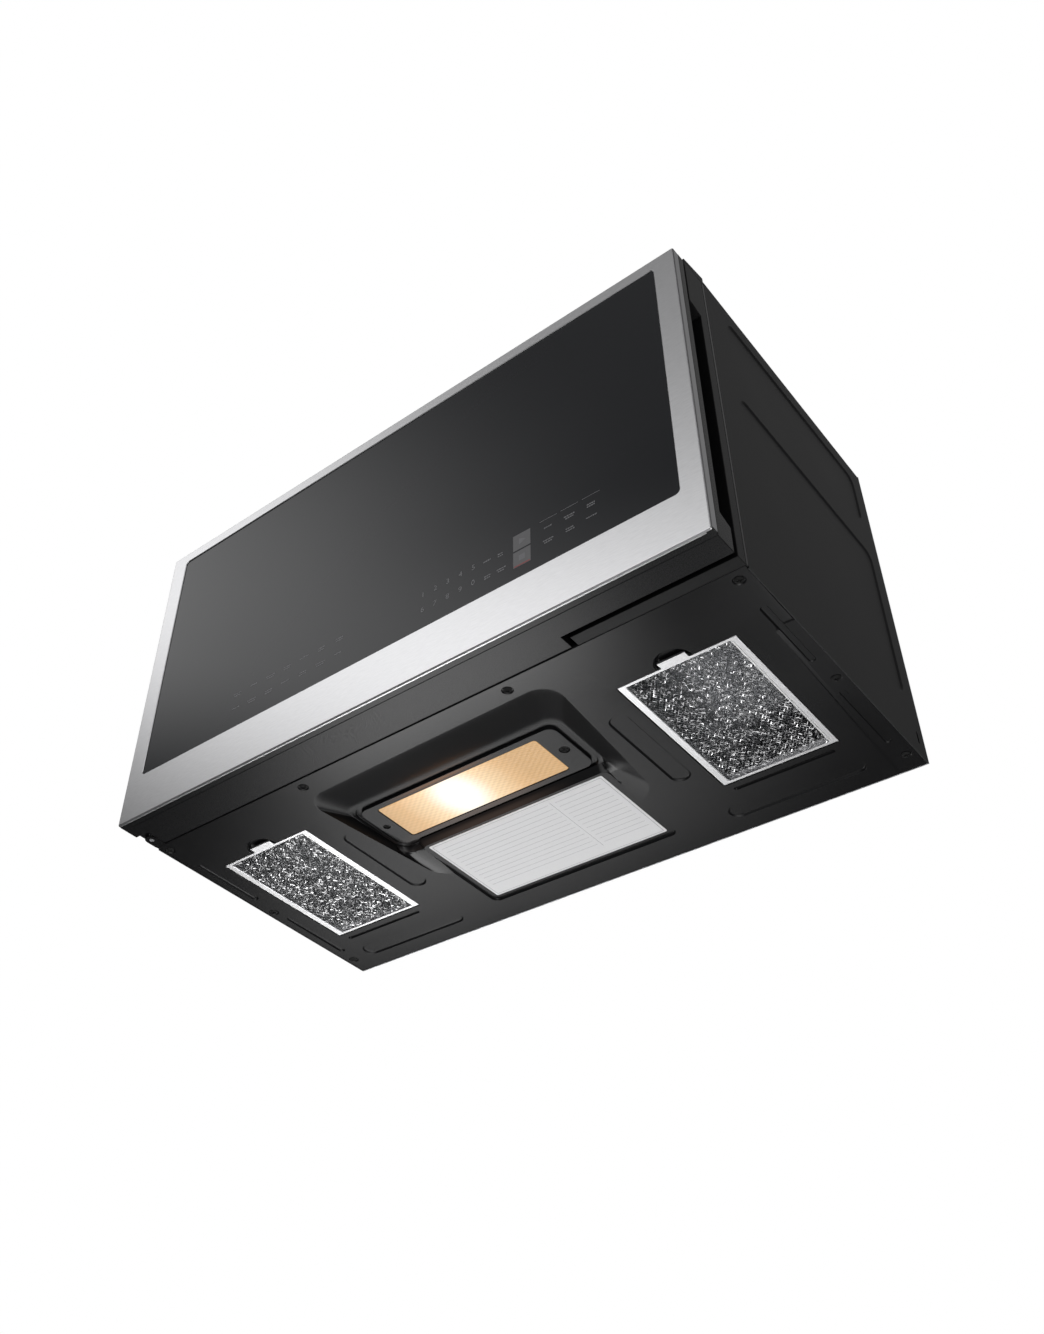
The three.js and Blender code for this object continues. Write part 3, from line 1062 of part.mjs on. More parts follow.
function controlBoard() {
  const c = CONTROL;
  const y = FRAME_FRONT + SHEET + SEAT;
  const face = y + c.stand + c.sheet - 0.6;
  const board = block([0, c.width], [y + c.stand, y + c.stand + c.sheet], [0, c.height]);
  const posts = [c.postIn, c.width - c.postIn].flatMap((x) => [c.postIn, c.height - c.postIn].map(
    (z) => rod('y', [x, z], c.post, [y, y + c.stand + 0.5], 6)));
  const onBoard = (x, z, [width, depth, height]) => block([x, x + width], [face, face + depth],
    [z, z + height]);
  const relays = [0, 1, 2].map((i) => onBoard(c.relayIn + i * c.relayPitch, c.relayLift, c.relay));
  const supply = onBoard(c.width - c.supplyIn - c.supply[0], c.supplyLift, c.supply);
  const cans = [0, 1, 2].map((i) => rod('y', [c.canIn + i * c.canPitch, c.canLift], c.can,
    [face, face + c.canHeight], 8));
  const header = onBoard(c.headerIn, c.height - c.headerDrop - c.header[2], c.header);
  return union(board, ...posts, ...relays, supply, ...cans, header);
}

function interlockBracket() {
  const { wall, side, depth, over, ear, earHalf } = BRACKET;
  const y = FRAME_FRONT + SHEET + SEAT;
  const half = LATCH_WIDTH / 2 + side;
  const spanZ = [HOOK_LEVELS[0] - over, HOOK_LEVELS[1] + over];
  const channel = less(block([LATCH_X - half, LATCH_X + half], [y, y + depth], spanZ),
    block([LATCH_X - half + wall, LATCH_X + half - wall], [y - 1, y + depth - 1.5 * wall],
      [spanZ[0] + wall, spanZ[1] - wall]));
  const ears = HOOK_LEVELS.map((z) => block([LATCH_X + half - 1, LATCH_X + half - 1 + ear], [y, y + wall],
    [z - earHalf, z + earHalf]));
  return union(channel, ...ears);
}

function interlockSwitch() {
  const { depth, height, lever, leverHalf, blade, bladeHalf, bladeSheet } = SWITCH;
  const half = LATCH_WIDTH / 2 + 3 - SEAT;
  const body = block([-half, half], [0, depth], [0, height]);
  const arm = prism(polygon([[0.5, height - 2], [-0.5, height - 2], [-lever, 2], [1 - lever, 2]]), 'x',
    [-leverHalf, leverHalf]);
  const blades = [height / 6, height / 2].map((z) => block([-bladeHalf, bladeHalf],
    [depth - 0.5, depth - 0.5 + blade], [z, z + bladeSheet]));
  return union(body, arm, ...blades);
}

function machineDeck() {
  const spanX = [BAY_LEFT, BAY_RIGHT - EMBOSS - SHEET - SEAT];
  const spanY = [FRAME_BACK + SEAT, CASE_BACK - 1];
  const deck = block(spanX, spanY, [DECK_HEIGHT, DECK_TOP]);
  const leg = (span) => block(spanX, span, [BASE_TOP + SEAT, DECK_TOP]);
  const airHole = block([BAY_LEFT + 20, BAY_RIGHT - 40], [FAN_PLATE_Y + 8, spanY[1] - 10], [0, CASE_HEIGHT]);
  return less(union(deck, leg([spanY[0], spanY[0] + SHEET]), leg([spanY[1] - SHEET, spanY[1]])), airHole);
}

function fanShroud() {
  const spanX = [BAY_LEFT + 36, BAY_RIGHT - 8];
  const back = FAN_PLATE_Y + SHEET;
  const bottom = DECK_TOP + SEAT;
  const mouth = FAN_RADIUS + 4;
  const plate = block(spanX, [FAN_PLATE_Y, back], [bottom, CAVITY_TOP]);
  const foot = block(spanX, [FAN_PLATE_Y - 14, back], [bottom, bottom + SHEET]);
  const collar = rod('y', [FAN_X, FAN_Z], mouth + SHEET, [FAN_PLATE_Y - 12, back]);
  const arms = [FAN_X - 24, FAN_X + 24].map((x) => block([x - 4, x + 4], [FAN_PLATE_Y, FAN_PLATE_Y + 3],
    [FAN_Z - mouth - 4, FAN_Z + mouth + 4]));
  const hole = rod('y', [FAN_X, FAN_Z], mouth, [FAN_PLATE_Y - 20, FAN_PLATE_Y + 20]);
  return union(less(union(plate, foot, collar), hole), ...arms);
}

function fanMotor() {
  const y = FAN_PLATE_Y + 3 + SEAT;
  const { half, high, stack, windowHalf, windowLow, windowHigh, bearing, shaft } = FAN_MOTOR;
  const core = less(block([-half, half], [y, y + stack], [-high, high]),
    block([-windowHalf, windowHalf], [y - 1, y + stack + 1], [-windowLow, -windowHigh]));
  const coil = prism(roundedRect(0, -19, half, 16, 4), 'y', [y, y + stack + 6], 1);
  const boss = rod('y', [0, 6], bearing, [y - 2.5, y + stack + 5], 16);
  return less(union(core, coil, boss), rod('y', [0, 6], shaft + SEAT, [y - 5, y + 30], 10));
}

function fanWheel() {
  const hub = rod('y', [0, 0], 11, [FAN_PLATE_Y - 10, FAN_PLATE_Y - 1], 16);
  const shaft = rod('y', [0, 0], FAN_MOTOR.shaft, [FAN_PLATE_Y - 5, FAN_PLATE_Y + 24], 10);
  const blades = [];
  for (let i = 0; i < FAN_BLADES; i++) {
    const blade = new THREE.ExtrudeGeometry(between([9, FAN_RADIUS], [-15, 15], 6),
      { depth: 1.2, bevelEnabled: false, curveSegments: 1 });
    blade.translate(0, 0, -0.6);
    blade.rotateX(THREE.MathUtils.degToRad(90 - 24));
    blade.translate(0, FAN_PLATE_Y - 5.5, 0);
    blade.rotateY((2 * Math.PI * i) / FAN_BLADES);
    blades.push(solid(blade));
  }
  const disc = [-FAN_RADIUS, FAN_RADIUS];
  const slice = block(disc, [FAN_PLATE_Y - 10, FAN_PLATE_Y - 1], disc);
  return union(union(hub, ...blades).intersect(slice), shaft);
}

function cavityLamp() {
  const y = CAVITY_FRONT + VENT_START + 1.5 * VENT_PITCH;
  const z = CAVITY_TOP - VENT_DROP + 0.5 * VENT_PITCH;
  const box = less(block([BAY_LEFT, BAY_LEFT + 30], [y - 24, y + 24], [z - 19, z + 19]),
    block([BAY_LEFT - 1, BAY_LEFT + 28], [y - 22, y + 22], [z - 17, z + 17]));
  const bulb = rod('x', [y, z], 8, [BAY_LEFT + 6, BAY_LEFT + 29], 12);
  const socket = rod('x', [y, z], 10, [BAY_LEFT + 28, BAY_LEFT + 40], 12);
  return union(box, bulb, socket);
}

// One snail-shaped chamber with its outlet towards the front, or the air space inside its wall.
function scroll(middle, inset) {
  const half = BLOWER_SCROLL_WIDTH / 2 - inset;
  const span = [middle - half, middle + half];
  const radius = BLOWER_SCROLL - inset;
  const mouth = BLOWER_Y - 2 * BLOWER_SCROLL - (inset ? 1 : 0);
  return union(rod('x', [BLOWER_Y, BLOWER_Z], radius, span, BLOWER_ROUND),
    block(span, [mouth, BLOWER_Y], [BLOWER_Z + inset, BLOWER_Z + radius]));
}

function blowerHousing() {
  const reach = WHEEL_OFFSET + BLOWER_SCROLL_WIDTH / 2 + 4;
  const base = CAVITY_TOP + CAVITY_WALL + SEAT;
  const axle = [BLOWER_Y, BLOWER_Z];
  const tray = block([BLOWER_X - reach, BLOWER_X + reach], [BLOWER_Y - 40, BLOWER_Y + 40],
    [base, base + SHEET]);
  const inlet = (x) => rod('x', axle, BLOWER_WHEEL_RADIUS - 8,
    [x - BLOWER_SCROLL_WIDTH, x + BLOWER_SCROLL_WIDTH], BLOWER_ROUND);
  const shells = [BLOWER_X - WHEEL_OFFSET, BLOWER_X + WHEEL_OFFSET].map(
    (x) => less(scroll(x, 0), scroll(x, BLOWER_SHELL), inlet(x)));
  const webs = [BLOWER_X - 20, BLOWER_X + 16].map((x) => less(
    block([x, x + 4], [BLOWER_Y - 34, BLOWER_Y + 34], [base, BLOWER_Z]),
    rod('x', axle, BLOWER_MOTOR_RADIUS + SEAT, [x - 1, x + 5], 24)));
  return union(tray, ...shells, ...webs);
}

function blowerMotor() {
  const half = BLOWER_MOTOR_LENGTH / 2;
  const can = rod('x', [0, 0], BLOWER_MOTOR_RADIUS, [-half, half], 24);
  const hubs = rod('x', [0, 0], 12, [-half - 4, half + 4], 16);
  return less(union(can, hubs), rod('x', [0, 0], BLOWER_SHAFT + SEAT, [-WIDTH, WIDTH], 16));
}

function blowerWheel() {
  const half = BLOWER_WHEEL_WIDTH / 2;
  const outer = BLOWER_WHEEL_RADIUS;
  const disc = rod('x', [0, 0], outer - 5, [-0.8, 0.8], BLOWER_ROUND);
  const hub = rod('x', [0, 0], 9, [-8, 8], 12);
  const rim = (span) => tube('x', [0, 0], outer, outer - 8, span, BLOWER_ROUND);
  const blades = [];
  for (let i = 0; i < BLOWER_BLADES; i++) {
    const vane = polygon([[outer - 7, -1.4], [outer - 3.6, 0.2], [outer - 1, 3.4], [outer - 3.9, 1.5]]);
    blades.push(prism(vane, 'x', [1 - half, half - 1]).rotate([(360 * i) / BLOWER_BLADES, 0, 0]));
  }
  const bore = rod('x', [0, 0], BLOWER_SHAFT + SEAT, [-WIDTH, WIDTH], 12);
  return less(union(disc, hub, rim([-half, -half + 2]), rim([half - 2, half]), ...blades), bore);
}

function buildMachinery(cabinet) {
  piece(cabinet, 'waveguide', waveguide(), ZINC);
  const [coverY, coverZ] = [PORT_LENGTH / 2 + 6, PORT_HEIGHT / 2 + 6];
  const cover = block([CAVITY_RIGHT - SEAT - 0.6, CAVITY_RIGHT - SEAT], [PORT_Y - coverY, PORT_Y + coverY],
    [PORT_Z - coverZ, PORT_Z + coverZ]);
  piece(cabinet, 'waveguide_cover', cover, MICA);
  piece(cabinet, 'magnetron', magnetron(), ZINC);
  piece(cabinet, 'machine_deck', machineDeck(), ZINC);
  const onDeck = DECK_TOP + SEAT;
  piece(cabinet, 'high_voltage_transformer', transformer(), COPPER,
    [BAY_LEFT + TRANSFORMER.x, FRAME_BACK + TRANSFORMER.y, onDeck]);
  piece(cabinet, 'high_voltage_capacitor', capacitor(), ALUMINIUM,
    [BAY_RIGHT - CAPACITOR.x, FRAME_BACK + CAPACITOR.y, onDeck]);
  piece(cabinet, 'control_board', controlBoard(), BOARD, [BAY_START + 6, 0, PORT_Z - 20]);
  piece(cabinet, 'interlock_bracket', interlockBracket(), WHITE_PLASTIC);
  const switchY = FRAME_FRONT + SHEET + 2 * SEAT + 12;
  for (const [name, z] of [['lower', HOOK_LEVELS[0] + 20], ['upper', HOOK_LEVELS[1] - 60]]) {
    piece(cabinet, `interlock_switch_${name}`, interlockSwitch(), BLACK_PLASTIC, [LATCH_X, switchY, z]);
  }
  piece(cabinet, 'cavity_lamp', cavityLamp(), ALUMINIUM);
  piece(cabinet, 'cooling_fan_shroud', fanShroud(), ZINC);
  piece(cabinet, 'cooling_fan_motor', fanMotor(), ZINC, [FAN_X, 0, FAN_Z - 6]);
  piece(cabinet, 'cooling_fan_wheel', fanWheel(), BLACK_PLASTIC, [FAN_X, 0, FAN_Z]);
  piece(cabinet, 'blower_housing', blowerHousing(), ZINC);
  const rotor = new THREE.Group();
  rotor.position.set(BLOWER_X, BLOWER_Y, BLOWER_Z);
  const shaft = rod('x', [0, 0], BLOWER_SHAFT, [-WHEEL_OFFSET - 10, WHEEL_OFFSET + 10], 12);
  piece(rotor, 'blower_motor', blowerMotor(), ZINC);
  piece(rotor, 'blower_shaft', shaft, ZINC);
  piece(rotor, 'blower_wheel_left', blowerWheel(), BLACK_PLASTIC, [-WHEEL_OFFSET, 0, 0]);
  piece(rotor, 'blower_wheel_right', blowerWheel(), BLACK_PLASTIC, [WHEEL_OFFSET, 0, 0]);
  cabinet.add(rotor);
}

// ---------------------------------------------------------------- assembly
function cordGrommet() {
  const profile = [[6, -4], [13.4, -4], [13.4, 2], [17, 2], [17, 4.5], [6, 4.5]];
  return turned([...profile, profile[0]], 16);
}

function buildCabinet() {
  const cabinet = new THREE.Group();
  piece(cabinet, 'outer_case', outerCase(), BLACK_PAINT);
  piece(cabinet, 'back_plate', backPlate(), ZINC);
  piece(cabinet, 'front_frame', frontFrame(), BLACK_PAINT);
  piece(cabinet, 'bay_front_panel', bayFrontPanel(), BLACK_PLASTIC);
  piece(cabinet, 'top_vent_grille', topGrille(), BLACK_PLASTIC);
  piece(cabinet, 'charcoal_filter', charcoalFilter(), CARBON);
  piece(cabinet, 'cord_grommet', cordGrommet(), BLACK_PLASTIC, [...CORD_PLACE, CASE_HEIGHT - 2 + SEAT]);
  buildHinges(cabinet);
  buildUnderside(cabinet);
  buildOven(cabinet);
  buildMachinery(cabinet);
  return cabinet;
}

const microwave = new THREE.Group();
microwave.position.set(0, -DEPTH, -CASE_HEIGHT / 2);
microwave.add(buildCabinet());
microwave.add(buildDoor());

export default microwave;
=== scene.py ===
"""Looks of an over-the-range microwave oven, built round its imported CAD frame.

Sizes are in millimetres in the drawing's own axes: x from the middle, y back from the face of the
door and z up from the door's lower edge. at() turns them into the frame's metres.
"""
import json
import logging
import math
import random
from dataclasses import dataclass, field
from enum import Enum
from typing import Callable, Iterable, Optional, Sequence, Union

import bmesh
import bpy
from mathutils import Matrix, Vector


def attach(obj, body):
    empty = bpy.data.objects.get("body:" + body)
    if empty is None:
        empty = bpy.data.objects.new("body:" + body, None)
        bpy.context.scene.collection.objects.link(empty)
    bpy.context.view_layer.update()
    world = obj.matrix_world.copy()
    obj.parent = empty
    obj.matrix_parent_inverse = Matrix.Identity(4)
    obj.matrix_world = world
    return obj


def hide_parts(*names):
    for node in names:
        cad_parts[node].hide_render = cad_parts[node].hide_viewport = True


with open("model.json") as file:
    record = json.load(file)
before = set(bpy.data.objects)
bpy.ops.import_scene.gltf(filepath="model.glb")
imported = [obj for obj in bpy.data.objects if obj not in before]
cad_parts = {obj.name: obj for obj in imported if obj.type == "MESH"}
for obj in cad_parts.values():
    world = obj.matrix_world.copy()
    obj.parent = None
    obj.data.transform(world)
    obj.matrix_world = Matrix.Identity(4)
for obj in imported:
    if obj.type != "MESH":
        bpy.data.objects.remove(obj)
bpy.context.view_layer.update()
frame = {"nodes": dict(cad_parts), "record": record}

log = logging.getLogger("microwave")

MM = 0.001
DRAWN_ORIGIN = Vector((0.0, 415.0, 212.75))
WIDTH, DOOR_HEIGHT, CASE_HEIGHT = 759.0, 415.0, 425.5
HALF = WIDTH / 2
UNDERSIDE = 1.0
SHEET = 1.2
FILTERS = {"left": -278.0, "right": 262.0}
FILTER_FRONT, FILTER_WIDTH, FILTER_LENGTH = 131.5, 128.0, 197.0
SHARP = math.radians(32)
SOFT_PRESS = math.radians(48)
LEAD = 0.3
LOOSE = 1e-6
WARM = (1.0, 0.42, 0.12)

Point = tuple[float, float, float]
Flat = tuple[float, float]
Rise = tuple[float, float]


# ---------------------------------------------------------------- places and outlines
def at(x: float, y: float, z: float) -> Vector:
    """A drawn point in millimetres, as a point of the frame in metres."""
    return (Vector((x, y, z)) - DRAWN_ORIGIN) * MM


class Side(Enum):
    """Which way a press or a hole goes into the sheet, and how its flat outline is laid out."""

    UP = ("z", 1)
    BACK = ("y", 1)
    LEFTWARDS = ("x", -1)
    RIGHTWARDS = ("x", 1)
    DOWN = ("z", -1)
    FORWARD = ("y", -1)

    def point(self, flat: Flat, level: float) -> Vector:
        """The place of a flat point on this side's plane.

        Args:
            flat: the two drawn coordinates other than the side's own axis, in x, y, z order.
            level: the drawn coordinate along the side's axis.

        Returns:
            The point in the frame, in metres.
        """
        axis = self.value[0]
        if axis == "z":
            return at(flat[0], flat[1], level)
        if axis == "y":
            return at(flat[0], level, flat[1])
        return at(level, flat[0], flat[1])

    @property
    def way(self) -> Vector:
        """The direction that the side goes in."""
        axis, sign = self.value
        return Vector([float(sign) if name == axis else 0.0 for name in "xyz"])


def rectangle(x: float, y: float, width: float, height: float, grow: float = 0.0) -> list[Flat]:
    """The four corners of a rectangle round its middle, grown all round."""
    across, up = width / 2 + grow, height / 2 + grow
    return [(x - across, y - up), (x + across, y - up), (x + across, y + up), (x - across, y + up)]


def span_rectangle(spans: tuple[Flat, Flat], grow: float = 0.0) -> list[Flat]:
    """The four corners of a rectangle given by its two spans, grown all round."""
    (x0, x1), (y0, y1) = spans
    return rectangle((x0 + x1) / 2, (y0 + y1) / 2, x1 - x0, y1 - y0, grow)


def faced(bm: bmesh.types.BMesh, side: Side) -> bmesh.types.BMesh:
    """Turns the one face of a mesh to look the way the side goes."""
    bm.normal_update()
    face = bm.faces[:][0]
    if face.normal.dot(side.way) < 0:
        face.normal_flip()
    return bm


def plate(side: Side, corners: Sequence[Flat], level: float, rounding: float = 0.0,
          steps: int = 8) -> bmesh.types.BMesh:
    """One flat face with rounded corners that looks the way the side goes.

    Args:
        side: the plane the face lies in.
        corners: the corners of the outline before rounding.
        level: the place of the plane along the side's axis.
        rounding: the radius of the corners.
        steps: the number of edges in each corner.

    Returns:
        A mesh that holds that one face.
    """
    bm = bmesh.new()
    verts = [bm.verts.new(side.point(c, level)) for c in corners]
    bm.faces.new(verts)
    if rounding > 0:
        bmesh.ops.bevel(bm, geom=bm.verts[:], offset=rounding * MM, segments=steps, profile=0.5,
                        affect="VERTICES", material=-1)
    return faced(bm, side)


def disc(side: Side, middle: Flat, radius: float, level: float, steps: int = 32) -> bmesh.types.BMesh:
    """One flat round face that looks the way the side goes."""
    bm = bmesh.new()
    turn = side.way.to_track_quat("Z", "Y").to_matrix().to_4x4()
    turn.translation = side.point(middle, level)
    bmesh.ops.create_circle(bm, cap_ends=True, radius=radius * MM, segments=steps, matrix=turn)
    return faced(bm, side)


def drawn(bm: bmesh.types.BMesh, rises: Iterable[Rise]) -> bmesh.types.BMesh:
    """Draws the one face of a mesh out into a closed body, ring after ring.

    Args:
        bm: a mesh with one face, as plate() or disc() makes it.
        rises: how far each ring goes in from the last one, and how far it goes up from it.

    Returns:
        The same mesh, closed, with its faces pointing outwards.
    """
    face = bm.faces[:][0]
    for inwards, up in rises:
        bmesh.ops.inset_individual(bm, faces=[face], thickness=inwards * MM, depth=up * MM,
                                   use_even_offset=True)
    rim = [edge for edge in bm.edges if edge.is_boundary]
    bmesh.ops.holes_fill(bm, edges=rim, sides=0)
    bmesh.ops.recalc_face_normals(bm, faces=bm.faces[:])
    return bm


def soft_wall(width: float, depth: float, lead: float = LEAD, steps: int = 6) -> list[Rise]:
    """The rises of a pressed wall that turns in and out softly.

    Args:
        width: how far the wall leans in over its whole depth.
        depth: how deep the press is.
        lead: how far under the sheet the drawing starts.
        steps: the number of rings in the wall.

    Returns:
        The rises for drawn(), from lead under the sheet.
    """
    heights = [depth * (1 - math.cos(math.pi * i / steps)) / 2 for i in range(steps + 1)]
    rises = [(width / steps, heights[1] + lead)]
    return rises + [(width / steps, heights[i + 1] - heights[i]) for i in range(1, steps)]


def block(x: Flat, y: Flat, z: Flat) -> bmesh.types.BMesh:
    """A closed rectangular block between drawn places."""
    bm = bmesh.new()
    low, high = at(x[0], y[0], z[0]), at(x[1], y[1], z[1])
    matrix = Matrix.Translation((low + high) / 2) @ Matrix.Diagonal((*(high - low), 1.0))
    bmesh.ops.create_cube(bm, size=1.0, matrix=matrix)
    return bm


def rod(side: Side, middle: Flat, radius: float, span: Flat, steps: int = 24) -> bmesh.types.BMesh:
    """A closed round rod along the side's axis, between two places on it."""
    return drawn(disc(side, middle, radius, span[0], steps), [(0.0, abs(span[1] - span[0]))])


def bevelled(bm: bmesh.types.BMesh, width: float, segments: int = 3,
             which: Callable[[bmesh.types.BMEdge], bool] = lambda edge: True) -> bmesh.types.BMesh:
    """Rounds the edges that turn sharply and that which() picks.

    Args:
        bm: the mesh.
        width: the width of the rounding.
        segments: how many faces make it.
        which: picks the edges.

    Returns:
        The same mesh.
    """
    bm.normal_update()
    edges = [e for e in bm.edges if e.is_manifold and e.calc_face_angle(0.0) > SHARP and which(e)]
    bmesh.ops.bevel(bm, geom=edges, offset=width * MM, segments=segments, profile=0.5, affect="EDGES",
                    material=-1, clamp_overlap=True)
    return bm


def kept(bm: bmesh.types.BMesh, name: str) -> bpy.types.Mesh:
    """The mesh as data of its own. What went in is freed."""
    mesh = bpy.data.meshes.new(name)
    bm.to_mesh(mesh)
    bm.free()
    return mesh


def linked(name: str, data: Optional[bpy.types.ID]) -> bpy.types.Object:
    """A new object of the scene that shows the data."""
    thing = bpy.data.objects.new(name, data)
    bpy.context.scene.collection.objects.link(thing)
    return thing


def taken(thing: bpy.types.Object, *tools: bpy.types.Object) -> bmesh.types.BMesh:
    """The mesh that an object's modifiers or its curve make. The object and its tools are removed."""
    evaluated = thing.evaluated_get(bpy.context.evaluated_depsgraph_get())
    result = bmesh.new()
    result.from_mesh(evaluated.to_mesh())
    evaluated.to_mesh_clear()
    for used in (thing, *tools):
        data = used.data
        bpy.data.objects.remove(used)
        store = bpy.data.meshes if isinstance(data, bpy.types.Mesh) else bpy.data.curves
        store.remove(data)
    return result


def merged(*parts: bmesh.types.BMesh) -> bmesh.types.BMesh:
    """Several meshes as one, with nothing joined."""
    whole = bmesh.new()
    for part in parts:
        mesh = kept(part, "part")
        whole.from_mesh(mesh)
        bpy.data.meshes.remove(mesh)
    return whole


def carved(body: bmesh.types.BMesh, cutters: Sequence[bmesh.types.BMesh],
           operation: str = "DIFFERENCE") -> bmesh.types.BMesh:
    """Cuts bodies out of another, one after the other.

    Args:
        body: the mesh that is cut.
        cutters: closed meshes.
        operation: DIFFERENCE, UNION or INTERSECT.

    Returns:
        The cut mesh. What went in is freed.
    """
    target, *tools = [linked("carving", kept(bm, "carving")) for bm in (body, *cutters)]
    for tool in tools:
        cut = target.modifiers.new("cut", "BOOLEAN")
        cut.solver, cut.operation, cut.object = "EXACT", operation, tool
    return taken(target, *tools)


def shelled(bm: bmesh.types.BMesh, unwanted: Callable[[Vector], bool],
            thickness: float) -> bmesh.types.BMesh:
    """Keeps the outer skin of a carved block and gives it the thickness of sheet metal, inwards.

    Args:
        bm: the carved block.
        unwanted: says of a face's middle, in drawn millimetres, whether it goes.
        thickness: the sheet's thickness.

    Returns:
        A closed sheet.
    """
    bmesh.ops.remove_doubles(bm, verts=bm.verts[:], dist=LOOSE)
    gone = [f for f in bm.faces if unwanted(f.calc_center_median() / MM + DRAWN_ORIGIN)]
    bmesh.ops.delete(bm, geom=gone, context="FACES")
    thing = linked("sheet", kept(bm, "sheet"))
    wall = thing.modifiers.new("wall", "SOLIDIFY")
    wall.thickness, wall.offset, wall.use_even_offset = thickness * MM, -1.0, True
    wall.thickness_clamp = 1.5
    return taken(thing)


def softened(node: str, width: float, segments: int = 2) -> bmesh.types.BMesh:
    """A copy of a CAD node's mesh, merged, with its sharp edges rounded."""
    bm = bmesh.new()
    bm.from_mesh(frame["nodes"][node].data)
    bmesh.ops.remove_doubles(bm, verts=bm.verts[:], dist=LOOSE)
    bmesh.ops.dissolve_limit(bm, angle_limit=math.radians(0.5), verts=bm.verts[:], edges=bm.edges[:])
    return bevelled(bm, width, segments)


# ---------------------------------------------------------------- shader toolkit
Number = Union[float, "Val"]


class Val:
    """One value in a shader. Python's operators on it add Math nodes."""

    def __init__(self, shader: "Nodes", socket: bpy.types.NodeSocket) -> None:
        """Keeps the socket that gives the value."""
        self.shader = shader
        self.socket = socket

    def math(self, operation: str, *others: Number) -> "Val":
        """A Math node on this value and others."""
        return self.shader.math(operation, self, *others)

    def __add__(self, other: Number) -> "Val":
        """The sum."""
        return self.math("ADD", other)

    __radd__ = __add__

    def __sub__(self, other: Number) -> "Val":
        """The difference."""
        return self.math("SUBTRACT", other)

    def __rsub__(self, other: Number) -> "Val":
        """The difference, the other way round."""
        return self.shader.math("SUBTRACT", other, self)

    def __mul__(self, other: Number) -> "Val":
        """The product."""
        return self.math("MULTIPLY", other)

    __rmul__ = __mul__

    def __truediv__(self, other: Number) -> "Val":
        """The quotient."""
        return self.math("DIVIDE", other)

    def __pow__(self, other: Number) -> "Val":
        """The power."""
        return self.math("POWER", other)

    def step(self, low: float, high: float) -> "Val":
        """0 below low and 1 above high, and smooth between, or the reverse where high is less."""
        kind = {"interpolation_type": "SMOOTHSTEP"}
        return self.shader.node("ShaderNodeMapRange", kind,
                                {"Value": self, "From Min": low, "From Max": high})


class Nodes:
    """The nodes of one material or world."""

    def __init__(self, owner: Union[bpy.types.Material, bpy.types.World]) -> None:
        """Starts with no nodes."""
        owner.use_nodes = True
        self.tree = owner.node_tree
        self.tree.nodes.clear()

    def node(self, kind: str, settings: dict, inputs: dict, out: Union[int, str] = 0) -> Optional[Val]:
        """Adds a node.

        Args:
            kind: the node's type.
            settings: what is set on the node first; stops are a colour ramp's places and colours.
            inputs: values or links for its sockets, by name or number.
            out: the output that is wanted.

        Returns:
            That output, or None from a node that has none.
        """
        node = self.tree.nodes.new(kind)
        for key, value in settings.items():
            if key == "stops":
                self._stops(node.color_ramp, value)
            else:
                setattr(node, key, value)
        for key, value in inputs.items():
            if isinstance(value, Val):
                self.tree.links.new(value.socket, node.inputs[key])
            else:
                node.inputs[key].default_value = value
        return Val(self, node.outputs[out]) if len(node.outputs) else None

    @staticmethod
    def _stops(ramp: bpy.types.ColorRamp, stops: Sequence[tuple[float, Point]]) -> None:
        """Puts the stops of a colour ramp in place."""
        while len(ramp.elements) < len(stops):
            ramp.elements.new(1.0)
        for element, (place, colour) in zip(ramp.elements, stops):
            element.position = place
            element.color = (*colour, 1.0)

    def math(self, operation: str, *values: Number) -> Val:
        """A Math node."""
        return self.node("ShaderNodeMath", {"operation": operation}, dict(enumerate(values)))

    def split(self, vector: Val) -> tuple[Val, Val, Val]:
        """The three parts of a vector."""
        node = self.tree.nodes.new("ShaderNodeSeparateXYZ")
        self.tree.links.new(vector.socket, node.inputs[0])
        return tuple(Val(self, out) for out in node.outputs)

    def noise(self, vector: Val, scale: float, detail: float = 2.0, roughness: float = 0.5) -> Val:
        """A noise pattern between 0 and 1."""
        return self.node("ShaderNodeTexNoise", {}, {"Vector": vector, "Scale": scale, "Detail": detail,
                                                    "Roughness": roughness})

    def cells(self, vector: Val, scale: float, out: Union[int, str] = 0) -> Val:
        """A pattern of cells: the way to the middle of each, or its chance colour."""
        return self.node("ShaderNodeTexVoronoi", {}, {"Vector": vector, "Scale": scale}, out)

    def waves(self, vector: Val, along: str, scale: float, distortion: float = 0.0,
              detail: float = 1.0) -> Val:
        """Straight bands, one after the other along an axis."""
        return self.node("ShaderNodeTexWave", {"wave_type": "BANDS", "bands_direction": along},
                         {"Vector": vector, "Scale": scale, "Distortion": distortion, "Detail": detail})

    def mix(self, factor: Number, first: Union[Point, Val], second: Union[Point, Val]) -> Val:
        """A colour between two colours."""
        first, second = [c if isinstance(c, Val) else (*c, 1.0) for c in (first, second)]
        return self.node("ShaderNodeMix", {"data_type": "RGBA"}, {0: factor, 6: first, 7: second}, 2)


